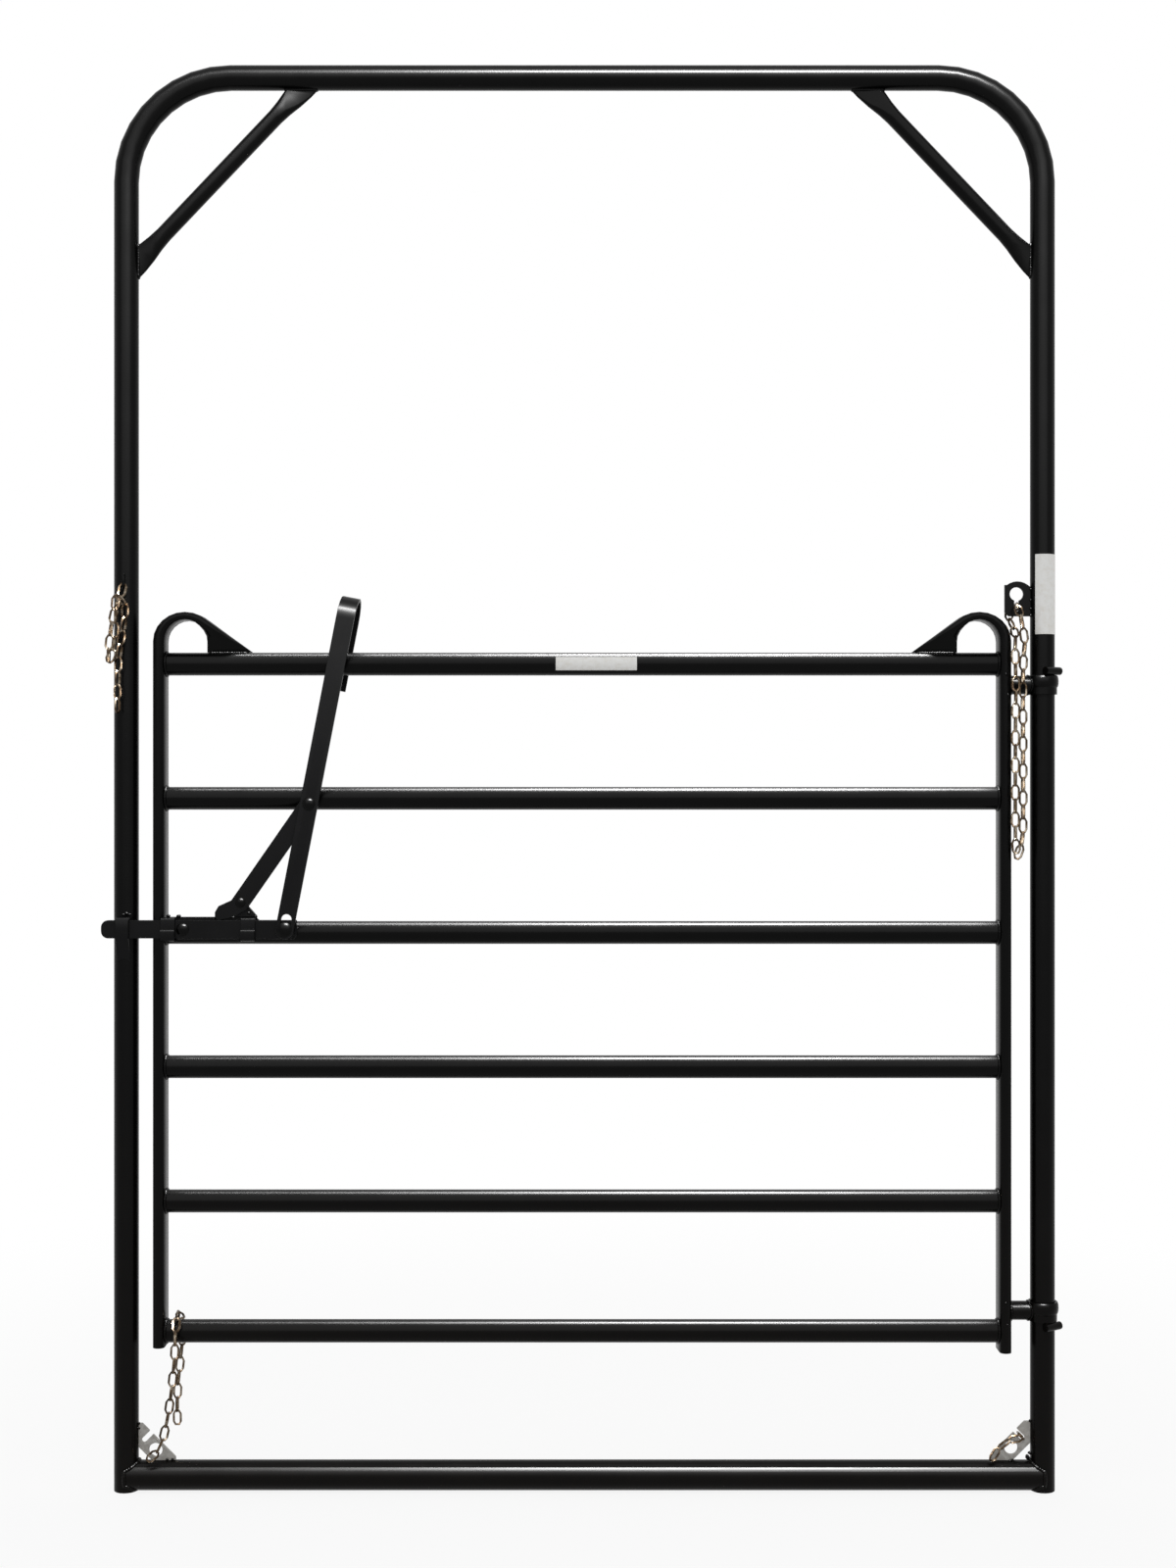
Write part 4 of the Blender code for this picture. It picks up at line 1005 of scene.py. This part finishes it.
@dataclass(frozen=True)
class Hinges:
    """The sleeves round the hinge post and their stops: the welds on them."""

    post_x: float = 0.8907
    stile_x: float = 0.8267
    sleeve_r: float = 0.0282
    arm_r: float = 0.01825
    heights: tuple[float, float] = (1.5643, 0.3485)
    # What keeps a bead off the stile's face and out of the sleeve
    stile_off: float = 0.0008
    sleeve_off: float = 0.001
    sleeve_in: float = 0.98
    stile_bead: float = 0.006
    sleeve_bead: float = 0.005
    ring_points: int = 36
    # From the middle of the stile's front
    stile_front: Place = (0.8152, -0.0285, 0)
    arm_spots: tuple[Spot, ...] = (
        (-0.0005, 0.0005, 1.5838, 0.0030), (0.0035, 0.0010, 1.5440, 0.0028),
        (-0.0010, 0.0005, 0.3692, 0.0030), (0.0020, 0.0010, 0.3270, 0.0028),
    )
    # From the middle line of the post
    stop_spots: tuple[Spot, ...] = (
        (0.0010, -0.0245, 1.5900, 0.0044), (0.0250, -0.0010, 1.5905, 0.0036),
        (0.0010, -0.0245, 0.3220, 0.0044), (0.0250, -0.0010, 0.3215, 0.0036),
    )

    def build(self, coat: bpy.types.Material) -> None:
        """Makes a ring where each arm leaves the stile, one where it meets its sleeve, and tacks.

        Args:
            coat: the finish over them.
        """
        for z, word in zip(self.heights, ("upper", "lower")):
            near, far = [], []
            for a in angles(self.ring_points):
                y, dz = self.arm_r * math.sin(a), self.arm_r * math.cos(a)
                near.append(Vector((self.stile_x + self.stile_off, y, z + dz)))
                reach = math.sqrt(self.sleeve_r**2 - y**2)
                x = self.post_x - reach - self.sleeve_off
                far.append(Vector((x, y, z + dz * self.sleeve_in)))
            for name, ring, width, seed in (
                ("arm", near, self.stile_bead, 11), ("sleeve", far, self.sleeve_bead, 12)
            ):
                Weld(
                    f"hinge_{name}_weld_{word}", Body.GATE, ring, width, seed=seed, closed=True
                ).build(coat)
        Tacks(
            "hinge_arm_tacks", Body.GATE, self.arm_spots, 7, origin=self.stile_front
        ).build(coat)
        Tacks(
            "hinge_stop_tacks", Body.FRAME, self.stop_spots, 8, origin=(self.post_x, 0, 0)
        ).build(coat)


@dataclass(frozen=True)
class Label:
    """A blank label wrapped on a tube's front."""

    name: str
    body: Body
    run: Run
    centre: Place
    length: float
    wide: float
    tube_r: float
    turn_deg: float = 0.0
    lift: float = 0.00025
    thick: float = 0.0002
    cells_round: int = 12
    cells_along: int = 4

    def build(self, paper: bpy.types.Material) -> None:
        """Makes the label.

        Args:
            paper: its finish.
        """
        bm = bmesh.new()
        rows, cols = self.cells_round, self.cells_along
        low = self._layer(bm, self.tube_r + self.lift)
        high = self._layer(bm, self.tube_r + self.lift + self.thick)
        for layer in (low, high):
            for i in range(rows):
                for j in range(cols):
                    corners = ((i, j), (i + 1, j), (i + 1, j + 1), (i, j + 1))
                    bm.faces.new([layer[row][col] for row, col in corners])
        edge = [(i, 0) for i in range(rows)] + [(rows, j) for j in range(cols)]
        edge += [(i, cols) for i in range(rows, 0, -1)] + [(0, j) for j in range(cols, 0, -1)]
        for (a, b), (c, d) in zip(edge, edge[1:] + edge[:1]):
            bm.faces.new((low[a][b], low[c][d], high[c][d], high[a][b]))
        bmesh.ops.recalc_face_normals(bm, faces=bm.faces)
        finish_piece(self.name, bm, paper, self.body)

    def _layer(self, bm: bmesh.types.BMesh, radius: float) -> list[list[bmesh.types.BMVert]]:
        """Lays out one face of the paper.

        Args:
            bm: the mesh to add to.
            radius: how far that face is from the tube's middle line.

        Returns:
            Its corners, in rows along the tube.
        """
        reach = self.wide / self.tube_r
        layer = []
        for i in range(self.cells_round + 1):
            angle = math.radians(self.turn_deg) + reach * (i / self.cells_round - 0.5)
            shares = [j / self.cells_along - 0.5 for j in range(self.cells_along + 1)]
            layer.append(
                [bm.verts.new(self._place(radius, angle, share * self.length)) for share in shares]
            )
        return layer

    def _place(self, radius: float, angle: float, along: float) -> Vector:
        """Finds a point of the label.

        Args:
            radius: how far it is from the tube's middle line.
            angle: how far round the tube it is, from 0 at the front.
            along: how far along the tube it is from the centre.

        Returns:
            The point.
        """
        x, y, z = self.centre
        across = radius * math.sin(angle)
        y -= radius * math.cos(angle)
        if self.run is Run.ACROSS:
            return Vector((x + along, y, z + across))
        return Vector((x + across, y, z + along))


@dataclass(frozen=True)
class Lamp:
    """A rectangular lamp for gloss alone: colours take their light from the even world."""

    name: str
    lit: Lit
    place: Place
    target: Place
    size: tuple[float, float]
    watts: float

    def hang(self, pieces: bpy.types.Collection) -> None:
        """Puts the lamp in the studio.

        Args:
            pieces: what it lights.
        """
        lamp = bpy.data.lights.new(self.name, "AREA")
        lamp.shape = "RECTANGLE"
        lamp.size, lamp.size_y = self.size
        lamp.energy = self.watts
        obj = bpy.data.objects.new(self.name, lamp)
        obj.location = self.place
        facing = Vector(self.target) - Vector(self.place)
        obj.rotation_mode = "QUATERNION"
        obj.rotation_quaternion = facing.to_track_quat("-Z", "Y")
        obj.light_linking.receiver_collection = pieces
        obj.visible_diffuse = obj.visible_camera = False
        bpy.context.scene.collection.objects.link(obj)


@dataclass(frozen=True)
class Studio:
    """The floor, the lamps, the world and the camera."""

    # Flat ovals, rough plates, the small eye, the brace that leans away, and paper
    WITHOUT_GLOSS_LINE: ClassVar[tuple[str, ...]] = (
        "gate_stile_latch", "gate_stile_hinge", "corner_plate_latch", "corner_plate_hinge",
        "chain_eye", "brace_right", "rail_label", "post_label",
    )
    LAMPS: ClassVar[tuple[Lamp, ...]] = (
        # Far enough behind the leaf that no rail stands in the light of the next
        Lamp("wide_strip_over_leaf", Lit.RAILS,
             (0.55, 0.95, 6.0), (0.55, 0, 1.0), (5.5, 0.44), 560),
        Lamp("middle_strip_over_leaf", Lit.RAILS,
             (0.55, 0.95, 6.0), (0.55, 0, 1.0), (2.6, 0.44), 1650),
        Lamp("bright_strip_over_leaf", Lit.RAILS,
             (0.55, 0.95, 6.0), (0.55, 0, 1.0), (1.2, 0.44), 1800),
        Lamp("strip_front_right", Lit.FRONT,
             (0.7, -3.5, 6.1), (0.4, 0, 1.4), (2.6, 0.45), 3700),
        Lamp("strip_front_left", Lit.FRONT,
             (-1.6, -3.5, 6.1), (-1.0, 0, 1.4), (2.6, 0.45), 90),
        # Glints down the chains' links
        Lamp("upright_strip_left", Lit.CHAINS,
             (-2.8, -3.0, 1.4), (0, 0, 1.2), (0.5, 3.2), 100),
        Lamp("upright_strip_right", Lit.CHAINS,
             (2.8, -3.0, 1.4), (0, 0, 1.2), (0.5, 3.2), 100),
        # Shades every tube from a soft grey down to black
        Lamp("soft_light_front", Lit.ALL,
             (0, -4.6, 5.3), (0, 0, 1.4), (10.0, 7.5), 460),
    )

    even_light: float = 0.95
    floor_half: float = 40.0
    floor_drop: float = 0.0005
    camera_x: float = 0.0069
    camera_distance: float = 4.003
    camera_height: float = 1.353
    lens_mm: float = 47.25
    sensor_mm: float = 36.0
    shift_y: float = 0.00625

    def build(self, paper: bpy.types.Material) -> None:
        """Makes everything that isn't the gate.

        Args:
            paper: the floor's finish.
        """
        self._floor(paper)
        self._lamps()
        self._world()
        self._camera()
        bpy.context.scene.view_settings.view_transform = "Standard"

    def _floor(self, paper: bpy.types.Material) -> None:
        """Lays a wide sheet of paper on the ground.

        Args:
            paper: its finish.
        """
        bm = bmesh.new()
        bmesh.ops.create_grid(bm, x_segments=8, y_segments=8, size=self.floor_half)
        mesh = bpy.data.meshes.new("studio_floor")
        bm.to_mesh(mesh)
        bm.free()
        mesh.materials.append(paper)
        obj = bpy.data.objects.new("studio_floor", mesh)
        obj.location.z = -self.floor_drop
        bpy.context.scene.collection.objects.link(obj)

    def _lamps(self) -> None:
        """Hangs the lamps, each over the pieces that it lights."""
        rails = [piece for piece in PIECES if piece.name.startswith(("gate_rail", "rail_weld"))]
        lit = {
            Lit.RAILS: rails,
            Lit.FRONT: [
                piece for piece in PIECES
                if piece not in rails and piece.name not in self.WITHOUT_GLOSS_LINE
            ],
            Lit.CHAINS: [piece for piece in PIECES if piece.name.endswith("_chain")],
            Lit.ALL: PIECES,
        }
        collections = {}
        for kind, pieces in lit.items():
            collections[kind] = bpy.data.collections.new(kind.value)
            for piece in pieces:
                collections[kind].objects.link(piece)
        for lamp in self.LAMPS:
            lamp.hang(collections[lamp.lit])

    def _world(self) -> None:
        """Makes a world that is white where it is seen, and an even soft light to the rest."""
        world = bpy.data.worlds.new("studio")
        bpy.context.scene.world = world
        world.use_nodes = True
        tree = world.node_tree
        tree.nodes.clear()
        light, white = (
            add_node(
                tree, "ShaderNodeBackground", {"Color": linear(WHITE), "Strength": strength}
            ).outputs["Background"]
            for strength in (self.even_light, 1.0)
        )
        whole = add_node(tree, "ShaderNodeMixShader", {0: rays_that_see(tree), 1: light, 2: white})
        add_node(tree, "ShaderNodeOutputWorld", {"Surface": whole.outputs["Shader"]})

    def _camera(self) -> None:
        """Stands the camera in the photograph's place: level, four metres off, at chest height."""
        data = bpy.data.cameras.new("camera")
        data.lens = self.lens_mm
        data.sensor_width = self.sensor_mm
        data.shift_y = self.shift_y
        obj = bpy.data.objects.new("camera", data)
        obj.location = (self.camera_x, -self.camera_distance, self.camera_height)
        obj.rotation_euler = (math.pi / 2, 0, 0)
        bpy.context.scene.collection.objects.link(obj)
        bpy.context.scene.camera = obj


def main() -> None:
    """Dresses the gate and builds the studio."""
    logging.basicConfig(level=logging.INFO, format="%(message)s")
    finishes = Finishes()
    CadPieces().dress(finishes)
    for part in (Arch(), GateLeaf(), Latch(), Hinges()):
        part.build(finishes.coat)
    labels = (
        Label(
            "rail_label", Body.GATE, Run.ACROSS, (0.0230, 0, 1.6052),
            length=0.157, wide=0.0271, tube_r=0.02222,
        ),
        Label(
            "post_label", Body.FRAME, Run.UPRIGHT, (0.8907, 0, 1.7396),
            length=0.155, wide=0.050, tube_r=0.0238, turn_deg=13.5,
        ),
    )
    for label in labels:
        label.build(finishes.label)
    Studio().build(finishes.floor)


if __name__ == "__main__":
    main()
